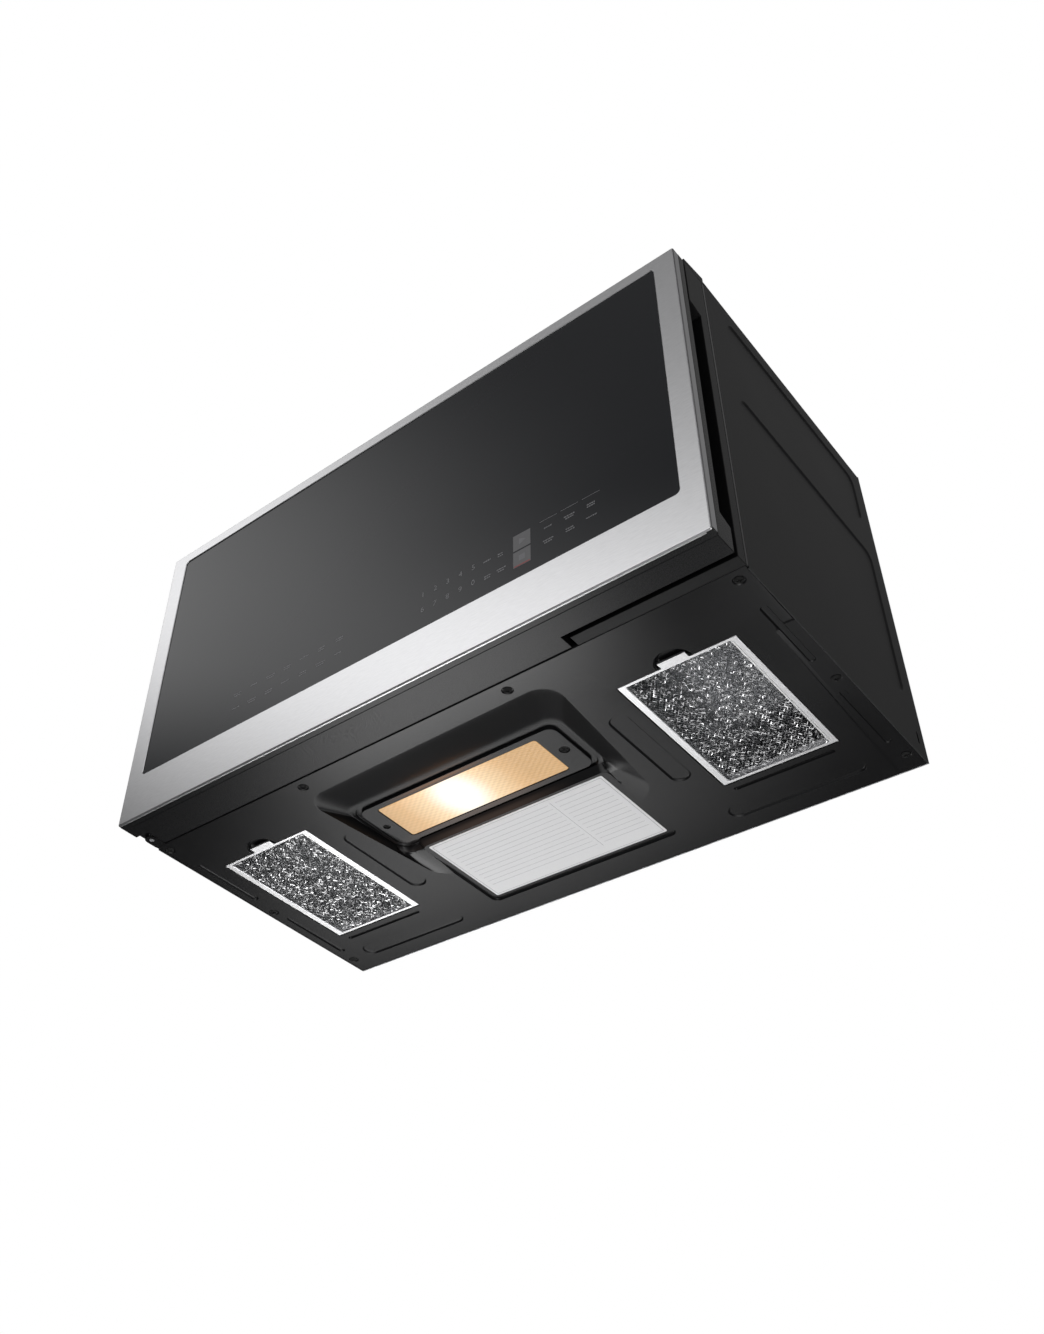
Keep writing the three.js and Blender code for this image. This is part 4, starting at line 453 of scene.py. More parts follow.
class Shader(Nodes):
    """The nodes of one material, from the object's own coordinates to a Principled shader."""

    def __init__(self, name: str) -> None:
        """Starts a new material."""
        self.material = bpy.data.materials.new(name)
        super().__init__(self.material)

    def coordinates(self, scale: Point = (1, 1, 1), centre: Point = (0, 0, 0),
                    turn: Point = (0, 0, 0)) -> Val:
        """The object's own coordinates, centred on a place in the frame, then turned and scaled."""
        plain = self.node("ShaderNodeTexCoord", {}, {}, "Object")
        moved = self.node("ShaderNodeMapping", {"vector_type": "POINT"},
                          {"Vector": plain, "Location": tuple(-c for c in centre)})
        return self.node("ShaderNodeMapping", {"vector_type": "POINT"},
                         {"Vector": moved, "Rotation": turn, "Scale": scale})

    def bump(self, height: Val, distance: float, strength: float = 1.0) -> Val:
        """A normal that follows a height."""
        return self.node("ShaderNodeBump", {}, {"Height": height, "Distance": distance, "Strength": strength})

    def done(self, inputs: dict) -> bpy.types.Material:
        """Ends the material in a Principled shader with these inputs."""
        surface = self.node("ShaderNodeBsdfPrincipled", {}, inputs)
        self.node("ShaderNodeOutputMaterial", {}, {"Surface": surface})
        return self.material


# ---------------------------------------------------------------- finishes
@dataclass(frozen=True)
class Finish:
    """A surface finish: the record's slot it stands for, and its colour and gloss."""

    name: str
    slot: str
    colour: Point
    roughness: float

    def material(self) -> bpy.types.Material:
        """The material, made the first time it is asked for."""
        known = bpy.data.materials.get(self.name)
        return known or self.build(Shader(self.name))

    def build(self, shader: Shader) -> bpy.types.Material:
        """Makes the nodes."""
        raise NotImplementedError

    def shade(self, amount: float) -> Point:
        """The colour, lighter or darker by a factor."""
        return tuple(c * amount for c in self.colour)


@dataclass(frozen=True)
class BrushedSteel(Finish):
    """Stainless sheet with fine streaks along x."""

    streak: float = 0.09

    def build(self, shader: Shader) -> bpy.types.Material:
        """Long thin noise in the colour, the gloss and the surface."""
        fine = shader.noise(shader.coordinates(scale=(60, 2600, 2600)), 1.0, 3.0, 0.6)
        short = shader.noise(shader.coordinates(scale=(90, 800, 800)), 1.0, 2.0, 0.6)
        streaks = fine * 0.55 + short * 0.45
        colour = shader.mix(streaks.step(0.25, 0.75), self.shade(1 - self.streak),
                            self.shade(1 + self.streak))
        return shader.done({"Base Color": colour, "Metallic": 1.0,
                            "Roughness": self.roughness + (streaks - 0.5) * 0.12,
                            "Normal": shader.bump(streaks, 0.00001, 0.3)})


@dataclass(frozen=True)
class SatinPaint(Finish):
    """Baked paint on sheet steel, with a little orange peel."""

    peel: float = 0.00003
    gloss: float = 0.21

    def build(self, shader: Shader) -> bpy.types.Material:
        """Slow changes of tone, fine peel and a grain in the gloss."""
        place = shader.coordinates()
        grain = shader.noise(place, 1500.0, 2.0)
        cloud = shader.noise(place, 9.0, 2.0)
        colour = shader.mix(cloud.step(0.3, 0.75), self.shade(0.88), self.shade(1.12))
        rough = self.roughness + (grain - 0.5) * 0.1 + (cloud - 0.5) * 0.05
        return shader.done({"Base Color": colour, "Roughness": rough, "Specular IOR Level": self.gloss,
                            "Normal": shader.bump(grain, self.peel, 0.5)})


@dataclass(frozen=True)
class Moulding(Finish):
    """Moulded plastic with a fine eroded grain."""

    grain: float = 0.00005
    gloss: float = 0.4

    def build(self, shader: Shader) -> bpy.types.Material:
        """Cells of grain in the surface and the gloss."""
        place = shader.coordinates()
        cells = shader.cells(place, 1300.0)
        cloud = shader.noise(place, 14.0, 3.0)
        colour = shader.mix(cloud, self.shade(0.9), self.shade(1.1))
        return shader.done({"Base Color": colour, "Roughness": self.roughness + (cells - 0.4) * 0.12,
                            "Specular IOR Level": self.gloss, "Normal": shader.bump(cells, self.grain, 0.4)})


@dataclass(frozen=True)
class TintedGlass(Finish):
    """The door's dark glass: smooth, with a trace of haze from wiping."""

    def build(self, shader: Shader) -> bpy.types.Material:
        """An even dark colour under a hard gloss."""
        haze = shader.noise(shader.coordinates(scale=(3, 1, 9)), 2.0, 3.0)
        colour = shader.mix(haze, self.shade(0.94), self.shade(1.06))
        return shader.done({"Base Color": colour, "Roughness": self.roughness + haze * 0.03, "IOR": 1.27})


@dataclass(frozen=True)
class ClearGlass(Finish):
    """Clear pressed glass."""

    def build(self, shader: Shader) -> bpy.types.Material:
        """Glass with a slight ripple from its mould."""
        ripple = shader.noise(shader.coordinates(), 60.0, 1.0)
        return shader.done({"Base Color": (*self.colour, 1.0), "Roughness": self.roughness + ripple * 0.03,
                            "Transmission Weight": 0.9, "IOR": 1.47,
                            "Normal": shader.bump(ripple, 0.0001, 0.3)})


@dataclass(frozen=True)
class LampGlass(Finish):
    """Amber lens with diagonal prisms, lit from behind by one bulb."""

    hot: Point = (-0.041, -0.226, -0.2025)
    reach: Flat = (0.085, 0.12)

    def build(self, shader: Shader) -> bpy.types.Material:
        """A glow that falls from white over the bulb to amber, broken by the prisms."""
        x, y, _ = shader.split(shader.coordinates(centre=self.hot))
        away = ((x / self.reach[0]) ** 2 + (y / self.reach[1]) ** 2).math("SQRT")
        glow = shader.node("ShaderNodeValToRGB", {"stops": [
            (0.0, (1.0, 1.0, 0.97)), (0.24, (1.0, 0.97, 0.86)), (0.45, (0.93, 0.72, 0.44)),
            (0.8, (0.70, 0.44, 0.20)), (1.0, (0.60, 0.37, 0.16))]}, {"Fac": away})
        weave = shader.coordinates(turn=(0, 0, math.radians(38)))
        relief = shader.waves(weave, "X", 105.0, 0.6) * 0.7 + shader.waves(weave, "Y", 60.0, 0.4) * 0.3
        lit = shader.mix((1 - relief) * away.step(0.15, 0.5) * 0.42, glow, (0.30, 0.15, 0.045))
        return shader.done({"Base Color": (*self.colour, 1.0), "Roughness": self.roughness,
                            "Emission Color": lit, "Emission Strength": 1.0,
                            "Normal": shader.bump(relief, 0.0004, 0.6)})


@dataclass(frozen=True)
class Enamel(Finish):
    """Grey oven enamel with fine specks."""

    def build(self, shader: Shader) -> bpy.types.Material:
        """Specks in the colour under a smooth coat."""
        place = shader.coordinates()
        specks = shader.cells(place, 420.0).step(0.22, 0.12)
        cloud = shader.noise(place, 6.0, 2.0)
        plain = shader.mix(cloud, self.shade(0.94), self.shade(1.05))
        colour = shader.mix(specks * 0.5, plain, self.shade(0.45))
        return shader.done({"Base Color": colour, "Roughness": self.roughness + cloud * 0.06,
                            "Normal": shader.bump(specks, 0.00004, 0.4)})


@dataclass(frozen=True)
class Zinc(Finish):
    """Galvanised sheet with its spangle."""

    def build(self, shader: Shader) -> bpy.types.Material:
        """Crystals of slightly different tone and gloss."""
        place = shader.coordinates()
        warped = shader.noise(place, 60.0, 2.0)
        tone = shader.split(shader.cells(place, 170.0, "Color"))[0] * 0.7 + warped * 0.3
        colour = shader.mix(tone, self.shade(0.8), self.shade(1.12))
        return shader.done({"Base Color": colour, "Metallic": 1.0, "Roughness": self.roughness + tone * 0.16,
                            "Normal": shader.bump(tone, 0.00003, 0.4)})


@dataclass(frozen=True)
class Aluminium(Finish):
    """Bright rolled aluminium, a little dented where it was folded."""

    dents: float = 0.0003

    def build(self, shader: Shader) -> bpy.types.Material:
        """Rolling streaks, scratches and soft dents."""
        place = shader.coordinates()
        rolled = shader.noise(shader.coordinates(scale=(900, 12, 900)), 1.0, 2.0)
        dent = shader.noise(place, 120.0, 2.0)
        colour = shader.mix(rolled, self.shade(0.9), self.shade(1.05))
        return shader.done({"Base Color": colour, "Metallic": 1.0,
                            "Roughness": self.roughness + rolled * 0.12,
                            "Normal": shader.bump(dent + rolled * 0.1, self.dents, 0.5)})


@dataclass(frozen=True)
class Winding(Finish):
    """Lacquered copper turns on a dark core."""

    def build(self, shader: Shader) -> bpy.types.Material:
        """Fine turns along z."""
        turns = shader.waves(shader.coordinates(), "Z", 160.0, 0.5)
        colour = shader.mix(turns, self.shade(0.55), self.shade(1.1))
        return shader.done({"Base Color": colour, "Metallic": 0.85, "Roughness": self.roughness + turns * 0.1,
                            "Normal": shader.bump(turns, 0.0003, 0.6)})


@dataclass(frozen=True)
class Board(Finish):
    """Green circuit board with tracks and pads."""

    def build(self, shader: Shader) -> bpy.types.Material:
        """Straight tracks from a cell pattern, and small pads."""
        place = shader.coordinates()
        upright = shader.coordinates(turn=(math.radians(90), 0, 0))
        tracks = shader.node("ShaderNodeTexBrick", {"offset": 0.5},
                             {"Vector": upright, "Scale": 60.0, "Mortar Size": 0.06}, "Fac")
        pads = shader.cells(place, 260.0).step(0.2, 0.14)
        colour = shader.mix(tracks * 0.6, self.colour, self.shade(1.8))
        colour = shader.mix(pads * 0.6, colour, (0.55, 0.5, 0.4))
        return shader.done({"Base Color": colour, "Roughness": self.roughness, "Coat Weight": 0.3})


@dataclass(frozen=True)
class Mica(Finish):
    """Pressed mica with flakes."""

    def build(self, shader: Shader) -> bpy.types.Material:
        """Flakes of different tone."""
        tone = shader.split(shader.cells(shader.coordinates(), 240.0, "Color"))[0]
        return shader.done({"Base Color": shader.mix(tone, self.shade(0.8), self.shade(1.15)),
                            "Roughness": self.roughness - tone * 0.2,
                            "Normal": shader.bump(tone, 0.00005, 0.4)})


@dataclass(frozen=True)
class Charcoal(Finish):
    """Pleated black filter medium."""

    def build(self, shader: Shader) -> bpy.types.Material:
        """Pleats across x with grains of carbon."""
        place = shader.coordinates()
        pleats = shader.waves(place, "X", 40.0, detail=2.0)
        grains = shader.noise(place, 500.0, 2.0)
        return shader.done({"Base Color": shader.mix(grains, self.shade(0.6), self.shade(1.6)),
                            "Roughness": self.roughness,
                            "Normal": shader.bump(pleats + grains * 0.2, 0.002, 0.7)})


@dataclass(frozen=True)
class Perforated(Finish):
    """Dark sheet with rows of fine round holes, each painted near-black inside as painted shade of the dark
    space behind it.
    """

    pitch: float = 0.0021

    def build(self, shader: Shader) -> bpy.types.Material:
        """Holes on a square lattice, turned by half a right angle, each painted near-black as painted shade
        rather than cut as an opening.
        """
        x, _, z = shader.split(shader.coordinates(scale=(1 / self.pitch,) * 3, turn=(0, math.radians(45), 0)))
        off = [(part.math("FRACT") - 0.5) ** 2 for part in (x, z)]
        hole = (off[0] + off[1]).math("SQRT").step(0.34, 0.27)
        # the holes' near-black colour is painted shade of the dark space seen through them; their gloss and
        # bump follow the holes themselves
        return shader.done({"Base Color": shader.mix(hole, self.colour, (0.002, 0.002, 0.002)),
                            "Roughness": self.roughness + hole * 0.4,
                            "Normal": shader.bump(1 - hole, 0.0003, 0.5)})


@dataclass(frozen=True)
class Print(Finish):
    """Printed or painted marks, slightly uneven."""

    def build(self, shader: Shader) -> bpy.types.Material:
        """A plain colour with the grain of a screen print."""
        grain = shader.noise(shader.coordinates(), 900.0, 2.0)
        return shader.done({"Base Color": shader.mix(grain, self.shade(0.92), self.shade(1.06)),
                            "Roughness": self.roughness + grain * 0.08})


STEEL = BrushedSteel("brushed_stainless", "stainless", (0.60, 0.60, 0.61), 0.36)
PAINT = SatinPaint("charcoal_paint", "black_paint", (0.011, 0.011, 0.0118), 0.23)
SIDE_PAINT = SatinPaint("case_paint", "black_paint", (0.016, 0.016, 0.017), 0.5, gloss=0.42)
DOOR_BLACK = Moulding("door_black", "black_plastic", (0.010, 0.010, 0.011), 0.27, grain=0.00002, gloss=0.2)
PLASTIC = Moulding("black_moulding", "black_plastic", (0.006, 0.006, 0.0065), 0.4, gloss=0.25)
DOOR_GLASS = TintedGlass("tinted_glass", "door_glass", (0.016, 0.017, 0.020), 0.05)
GLASS = ClearGlass("clear_glass_finish", "clear_glass", (0.88, 0.94, 0.93), 0.02)
LENS_GLASS = LampGlass("amber_lens", "amber_glass", (0.12, 0.07, 0.03), 0.3)
ENAMEL = Enamel("grey_oven_enamel", "grey_enamel", (0.34, 0.35, 0.36), 0.3)
ZINC = Zinc("galvanised_sheet", "zinc_sheet", (0.56, 0.57, 0.59), 0.32)
ALUMINIUM = Aluminium("rolled_aluminium", "bright_aluminium", (0.90, 0.90, 0.91), 0.36)
FOIL = Aluminium("expanded_foil", "bright_aluminium", (0.80, 0.80, 0.81), 0.22, dents=0.0003)
WHITE = Moulding("white_moulding", "white_plastic", (0.78, 0.77, 0.73), 0.45)
WINDING = Winding("copper_turns", "copper_winding", (0.55, 0.26, 0.13), 0.35)
BOARD = Board("circuit_board", "green_board", (0.015, 0.09, 0.04), 0.5)
MICA = Mica("pressed_mica", "mica", (0.5, 0.42, 0.3), 0.6)
CHARCOAL = Charcoal("charcoal_medium", "carbon", (0.012, 0.012, 0.012), 0.9)
SCREEN = Perforated("perforated_sheet", "black_paint", (0.02, 0.02, 0.021), 0.45)
LEGEND = Print("legend_print", "door_glass", (0.16, 0.16, 0.17), 0.5)
KEY_PATCH = Print("key_patch", "door_glass", (0.10, 0.10, 0.105), 0.4)
RED_LINE = Print("red_line_print", "door_glass", (0.30, 0.03, 0.03), 0.5)
PALE_PLATE = Print("pale_plate", "white_plastic", (0.80, 0.80, 0.81), 0.4)
RULING = Print("grey_ruling", "white_plastic", (0.28, 0.28, 0.29), 0.5)
RECESS = Print("black_recess", "black_plastic", (0.002, 0.002, 0.002), 0.75)

BY_SLOT: dict[str, Finish] = {
    "stainless": STEEL, "door_glass": DOOR_GLASS, "clear_glass": GLASS, "amber_glass": LENS_GLASS,
    "black_paint": PAINT, "black_plastic": PLASTIC, "grey_enamel": ENAMEL, "zinc_sheet": ZINC,
    "bright_aluminium": ALUMINIUM, "white_plastic": WHITE, "copper_winding": WINDING,
    "green_board": BOARD, "mica": MICA, "carbon": CHARCOAL,
}


def fit(name: str, bm: bmesh.types.BMesh, finish: Finish, body: str, replaces: Sequence[str] = (),
        sharp: float = SHARP) -> bpy.types.Object:
    """Makes a mesh into a piece of the microwave.

    Args:
        name: the piece's name.
        bm: its mesh, in place. It is freed.
        finish: its finish.
        body: the CAD body it rides on.
        replaces: the CAD nodes it stands for.
        sharp: the angle from which an edge shows as an edge.

    Returns:
        The object.
    """
    mesh = kept(bm, name)
    mesh.polygons.foreach_set("use_smooth", [True] * len(mesh.polygons))
    mesh.set_sharp_from_angle(angle=sharp)
    mesh.materials.append(finish.material())
    thing = linked(name, mesh)
    weighted = thing.modifiers.new("flat_faces_lead", "WEIGHTED_NORMAL")
    weighted.keep_sharp = True
    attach(thing, body)
    if replaces:
        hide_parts(*replaces)
    log.info("%s: %d faces on %s", name, len(mesh.polygons), body)
    return thing


def cross_head(side: Side, middle: Flat, level: float, radius: float, height: float) -> bmesh.types.BMesh:
    """A screw's pan head with a cross recess, seen from the side it is driven from.

    Args:
        side: the way the screw goes in.
        middle: its place on the sheet.
        level: the level of the sheet under its head.
        radius: the head's radius.
        height: how far the head stands out.

    Returns:
        The closed head.
    """
    towards = -side.value[1]
    out = next(s for s in Side if s.value == (side.value[0], towards))
    dome = ((0.0, 0.35), (0.12, 0.3), (0.22, 0.22), (0.3, 0.13))
    head = drawn(disc(out, middle, radius, level, 24), [(radius * i, height * u) for i, u in dome])
    arm, reach = radius * 0.16, radius * 0.62
    top = level + towards * (height + 0.1)
    bars = [drawn(plate(side, rectangle(*middle, *size), top), [(0.0, height * 0.7)])
            for size in ((2 * reach, 2 * arm), (2 * arm, 2 * reach))]
    return carved(head, bars)


# ---------------------------------------------------------------- door
@dataclass
class Door:
    """The door: steel trim, dark glass with its legends, moulded body and inner panel."""

    window: tuple[Flat, Flat] = ((-HALF + 25, HALF - 25), (60.7, DOOR_HEIGHT - 16))
    window_round: float = 5.0
    trim_depth: float = 10.0
    edge_round: float = 1.8
    chamfer: float = 0.8
    sheet: float = 1.0
    lip_front: float = 3.0
    lip_height: float = 1.2
    notch: Flat = (6.5, 3.6)
    glass_front: float = 1.3
    print_height: float = 0.08
    digits: tuple[float, float, float] = (59.4, 16.05, 9.5)
    keys: tuple[tuple[float, float, int, float, float, float], ...] = (
        (141.0, 16.5, 2, 106.0, 20.5, 10), (-208.0, 25.5, 7, 110.0, 21.0, 13),
        (214.0, 24.5, 3, 108.0, 17.0, 13))

    def build(self) -> None:
        """Makes every piece of the door."""
        self.trim()
        self.lip()
        self.legends()
        fit("door_moulding", softened("door_body", 0.7), DOOR_BLACK, "door", ["door_body"])
        fit("inner_door_panel", softened("door_inner_panel", 0.5), PAINT, "door", ["door_inner_panel"])

    def trim(self) -> None:
        """The drawn steel trim with its window and rolled edges."""
        front = at(0, 0, 0).y
        shell = block((-HALF, HALF), (0, self.trim_depth), (0, DOOR_HEIGHT))
        bevelled(shell, self.edge_round, 4, lambda e: any(abs(v.co.y - front) < LOOSE for v in e.verts))
        lead = 0.4
        mouth = plate(Side.BACK, span_rectangle(self.window, self.chamfer + lead), -lead,
                      self.window_round + self.chamfer + lead, 8)
        window = drawn(mouth, [(lead + self.chamfer, lead + self.chamfer), (0.0, 2 * self.trim_depth)])
        (x0, x1), (z0, z1) = self.window
        lip = block((-HALF - 1, HALF + 1), (self.lip_front, self.trim_depth + 1), (-1, self.lip_height))
        inwards, up = self.notch
        nick = plate(Side.RIGHTWARDS, rectangle(7.5, 0, 12, 2 * up), HALF - inwards, 1.2, 4)
        corner = drawn(nick, [(0.0, inwards + 1)])

        def hidden(middle: Vector) -> bool:
            """The open back, the window's wall behind the sheet, and the walls of the two lower cuts."""
            inside = x0 - 5 < middle.x < x1 + 5 and z0 - 5 < middle.z < z1 + 5
            below = middle.z < self.lip_height + 0.05 and middle.y > self.lip_front - 0.05
            cut = middle.x > HALF - inwards - 0.05 and middle.z < up + 0.05 and middle.y > 1.45
            return middle.y > self.trim_depth - 0.01 or (inside and middle.y > 1.2) or below or cut

        sheet = shelled(carved(shell, [window, lip, corner]), hidden, self.sheet)
        fit("steel_door_trim", sheet, STEEL, "door", ["door_trim"])

    def lip(self) -> None:
        """The black lip that closes the trim's lower edge, with its upturned corner."""
        inwards, up = self.notch
        edge = HALF - 0.35
        step, near, far = HALF - inwards, 1.9, self.trim_depth
        outline = [(-edge, self.lip_front + 0.3), (step - 1, self.lip_front + 0.3), (step + 0.6, near),
                   (edge, near), (edge, far), (-edge, far)]
        flat = drawn(plate(Side.UP, outline, 0.05, 0.5, 2), [(0.0, self.lip_height + 0.2)])
        upright = [(edge - 1.1, near), (edge, near), (edge, far), (edge - 1.1, far)]
        ear = drawn(plate(Side.UP, upright, 0.3), [(0.0, up - 0.6)])
        fit("door_lower_lip", merged(bevelled(flat, 0.2, 2), bevelled(ear, 0.2, 2)), DOOR_BLACK, "door")

    def bar(self, x: float, z: float, width: float, height: float,
            thickness: float = 1.0) -> bmesh.types.BMesh:
        """A flat printed bar on the glass, round its middle, thicker than the print by a factor."""
        mark = plate(Side.FORWARD, rectangle(x, z, width, height), self.glass_front - 0.01)
        return drawn(mark, [(0.0, self.print_height * thickness)])

    def dashes(self, x: float, z: float, width: float, draw: random.Random) -> list[bmesh.types.BMesh]:
        """A key's mark: a broken line of small dashes of chance lengths."""
        marks = []
        place = x - width / 2
        while place < x + width / 2 - 1.0:
            length = draw.uniform(1.2, 2.6)
            marks.append(self.bar(place + length / 2, z, length, draw.uniform(1.1, 1.7)))
            place += length + 0.55
        return marks

    def digit(self, text: str, x: float, z: float, size: float) -> bmesh.types.BMesh:
        """A plain digit on the glass."""
        curve = bpy.data.curves.new("digit", "FONT")
        curve.body, curve.size, curve.extrude = text, size * MM, self.print_height * MM / 2
        curve.align_x, curve.align_y = "CENTER", "CENTER"
        curve.resolution_u = 3
        bm = taken(linked("digit", curve))
        upright = Matrix.Rotation(math.radians(90), 4, "X")
        move = Matrix.Translation(at(x, self.glass_front - self.print_height / 2, z))
        bmesh.ops.transform(bm, matrix=move @ upright, verts=bm.verts[:])
        bmesh.ops.remove_doubles(bm, verts=bm.verts[:], dist=1e-7)
        return bm

    def legends(self) -> None:
        """The touch keys' marks: plain digits, and plain symbols for the rest."""
        draw = random.Random(5)
        marks: list[bmesh.types.BMesh] = []
        start, pitch, size = self.digits
        for row, (digits, z) in enumerate((("12345", 107.0), ("67890", 86.5))):
            marks += [self.digit(d, start + pitch * i, z, size) for i, d in enumerate(digits)]
            groups = [(x + step * i, level - drop * row, width)
                      for x, step, count, level, drop, width in self.keys for i in range(count)]
            for place, (x, level, width) in enumerate(groups):
                marks += self.dashes(x, level, width - 3 * ((place + row) % 2), draw)
                if (place + row) % 3:
                    marks += self.dashes(x, level - 2.9, width - 3, draw)
        marks += [self.bar(214 + 24.5 * i, 119.0, 20, 0.5) for i in range(3)]
        fit("touch_key_marks", merged(*marks), LEGEND, "door")
        patches = [self.bar(182.7, 108.6, 20.5, 20.5), self.bar(182.7, 86.0, 20.5, 20.5)]
        fit("start_stop_patches", merged(*patches), KEY_PATCH, "door")
        arrow = plate(Side.FORWARD, [(179.5, 104.5), (187.5, 108.6), (179.5, 112.7)], self.glass_front - 0.1)
        signs = [drawn(arrow, [(0.0, 0.06)]), self.bar(182.7, 86.5, 7, 7, 1.9)]
        fit("start_stop_signs", merged(*signs), LEGEND, "door")
        fit("stop_line", self.bar(182.7, 77.0, 18.5, 1.2, 1.9), RED_LINE, "door")


# ---------------------------------------------------------------- underside
@dataclass
class Underside:
    """The drawn base plate, its screws, the lamp unit and the pale plate."""

    edge: tuple[Flat, Flat] = ((-378.0, 378.0), (57.0, 413.5))
    bowl_mouth: tuple[Flat, ...] = ((-177, 85), (156, 80), (138, 304), (-151, 304))
    bowl_floor: tuple[Flat, ...] = ((-163, 142.5), (117, 142.5), (117, 238), (-163, 238))
    bowl_round: float = 28.0
    floor_round: float = 17.0
    bowl_depth: float = 10.5
    wall_rounding: float = 0.12
    tail_from: float = 222.0
    tail_run: float = 20.0
    tail_drop: float = 0.55
    tail_rows: tuple[float, ...] = (222, 232, 238.5, 243.5, 252)
    keeper: tuple[float, float, float, float] = (-11, 308, 248, 139)
    ledge: tuple[Flat, ...] = ((356.5, 140), (400, 140), (400, 430), (346.5, 430))
    plate_size: tuple[float, float, float, float] = (-11.5, 305.5, 232.0, 127.0)
    lamp: tuple[float, float, float, float] = (-23.5, 190, 262, 78)
    lamp_round: float = 11.0
    groove: float = 5.5
    groove_ceiling: float = 13.5
    lamp_face: float = 10.0
    lens: tuple[float, float, float, float] = (-26, 190, 212, 60.5)
    plate_seat: tuple[float, float, float, float] = (-11, 305, 248, 142)
    plate_depth: float = 3.0
    slab_top: float = 40.0
    skin_top: float = 14.5
    press_depth: float = 2.0
    presses: tuple[tuple[float, float, float, float], ...] = (
        (-181.5, 231, 21, 130), (171.5, 231, 21, 130), (-265.5, 377, 153, 22), (253, 377, 153, 22),
        (-280, 340, 112, 4.5), (259.5, 340, 112, 4.5), (364, 159, 7, 94), (364, 310, 7, 100),
        (-364, 159, 7, 94), (-364, 310, 7, 100))
    screws: tuple[Flat, ...] = ((365, 70), (369, 240), (368, 388), (113.5, 70), (-158.5, 70), (-369, 70),
                                (-369, 240), (-368, 384))
    lamp_screws: tuple[tuple[float, float, float], ...] = ((95.5, 190, 6.2), (-145, 190, 4.6))

    def build(self) -> None:
        """Makes every piece of the underside."""
        self.base()
        self.screw_heads()
        self.lamp_unit()
        self.pale_plate()

    def ramp(self, share: float) -> float:
        """The rise of a straight wall with rounded ends, at a share of its width."""
        ends = self.wall_rounding
        near = min(share, 1 - share)
        rise = near ** 2 / (2 * ends * (1 - ends)) if near < ends else (near - ends / 2) / (1 - ends)
        return rise if share <= 0.5 else 1 - rise

    def bowl(self) -> bmesh.types.BMesh:
        """The hollow of the bowl, drawn softly from its mouth to its floor, with a flatter tail."""
        lead = 0.4
        steps = 15
        bm = merged(plate(Side.UP, self.bowl_mouth, 0.0, self.bowl_round, 8),
                    plate(Side.UP, self.bowl_floor, 1.0, self.floor_round, 8))
        walls = bmesh.ops.bridge_loops(bm, edges=[e for e in bm.edges if e.is_boundary])
        rungs = {e for f in walls["faces"] for e in f.edges if abs(e.verts[0].co.z - e.verts[1].co.z) > 1e-5}
        bmesh.ops.subdivide_edges(bm, edges=list(rungs), cuts=steps - 1, use_grid_fill=True)
        for y in self.tail_rows:
            bmesh.ops.bisect_plane(bm, geom=bm.verts[:] + bm.edges[:] + bm.faces[:], plane_co=at(0, y, 0),
                                   plane_no=(0, 1, 0))
        for vert in bm.verts:
            share = vert.co.z / MM + DRAWN_ORIGIN.z
            rise = self.bowl_depth * self.ramp(share)
            if share < 0.99:
                y = vert.co.y / MM + DRAWN_ORIGIN.y
                rise *= 1 - self.tail_drop * min(1, max(0, (y - self.tail_from) / self.tail_run))
            vert.co.z = at(0, 0, UNDERSIDE + rise - (lead if share < 1e-4 else 0)).z
        bmesh.ops.recalc_face_normals(bm, faces=bm.faces[:])
        return bm

    def base(self) -> None:
        """The base plate, pressed and pierced."""
        floor = UNDERSIDE + self.bowl_depth
        slab = block(*self.edge, (UNDERSIDE, self.slab_top))
        low = at(0, 0, UNDERSIDE).z
        bevelled(slab, 0.8, 2, lambda e: all(abs(v.co.z - low) < LOOSE for v in e.verts))
        ceiling = UNDERSIDE + self.plate_depth
        keeper = drawn(plate(Side.UP, rectangle(*self.keeper), ceiling, 8), [(-8.0, 9.0), (0.0, 20.0)])
        bowl = carved(self.bowl(), [keeper])
        groove = drawn(plate(Side.UP, rectangle(*self.lamp, grow=self.groove + 1.6), floor - 0.4,
                             self.lamp_round + self.groove + 1.6),
                       soft_wall(1.6, self.groove_ceiling - floor, 0.4, 5))
        under = UNDERSIDE - LEAD
        seat = drawn(plate(Side.UP, rectangle(*self.plate_seat, grow=0.8), under, 8.8),
                      soft_wall(1.6, self.plate_depth, steps=5))
        light = drawn(plate(Side.UP, rectangle(*self.lens, grow=6), 0.0), [(0.0, 60.0)])
        cutters = [bowl, groove, seat, light]
        for x in FILTERS.values():
            cutters += self.filter_pocket(x)
        for x, y, width, length in self.presses:
            lean = min(2.4, min(width, length) * 0.3)
            rounding = min(width, length) / 2 - 0.2 + lean / 2
            outline = rectangle(x, y, width, length, grow=lean / 2)
            cutters.append(drawn(plate(Side.UP, outline, under, rounding, 6),
                                 soft_wall(lean, self.press_depth, steps=5)))
        cutters.append(drawn(plate(Side.UP, self.ledge, under, 9.0, 5), soft_wall(5.0, 0.9)))
        cutters += [drawn(disc(Side.UP, middle, 6.4, under), soft_wall(1.5, 1.3, steps=5))
                    for middle in self.screws]
        sheet = shelled(carved(slab, cutters), lambda m: m.z > self.skin_top, SHEET)
        fit("drawn_base_plate", sheet, PAINT, "cabinet", ["base_plate"], SOFT_PRESS)

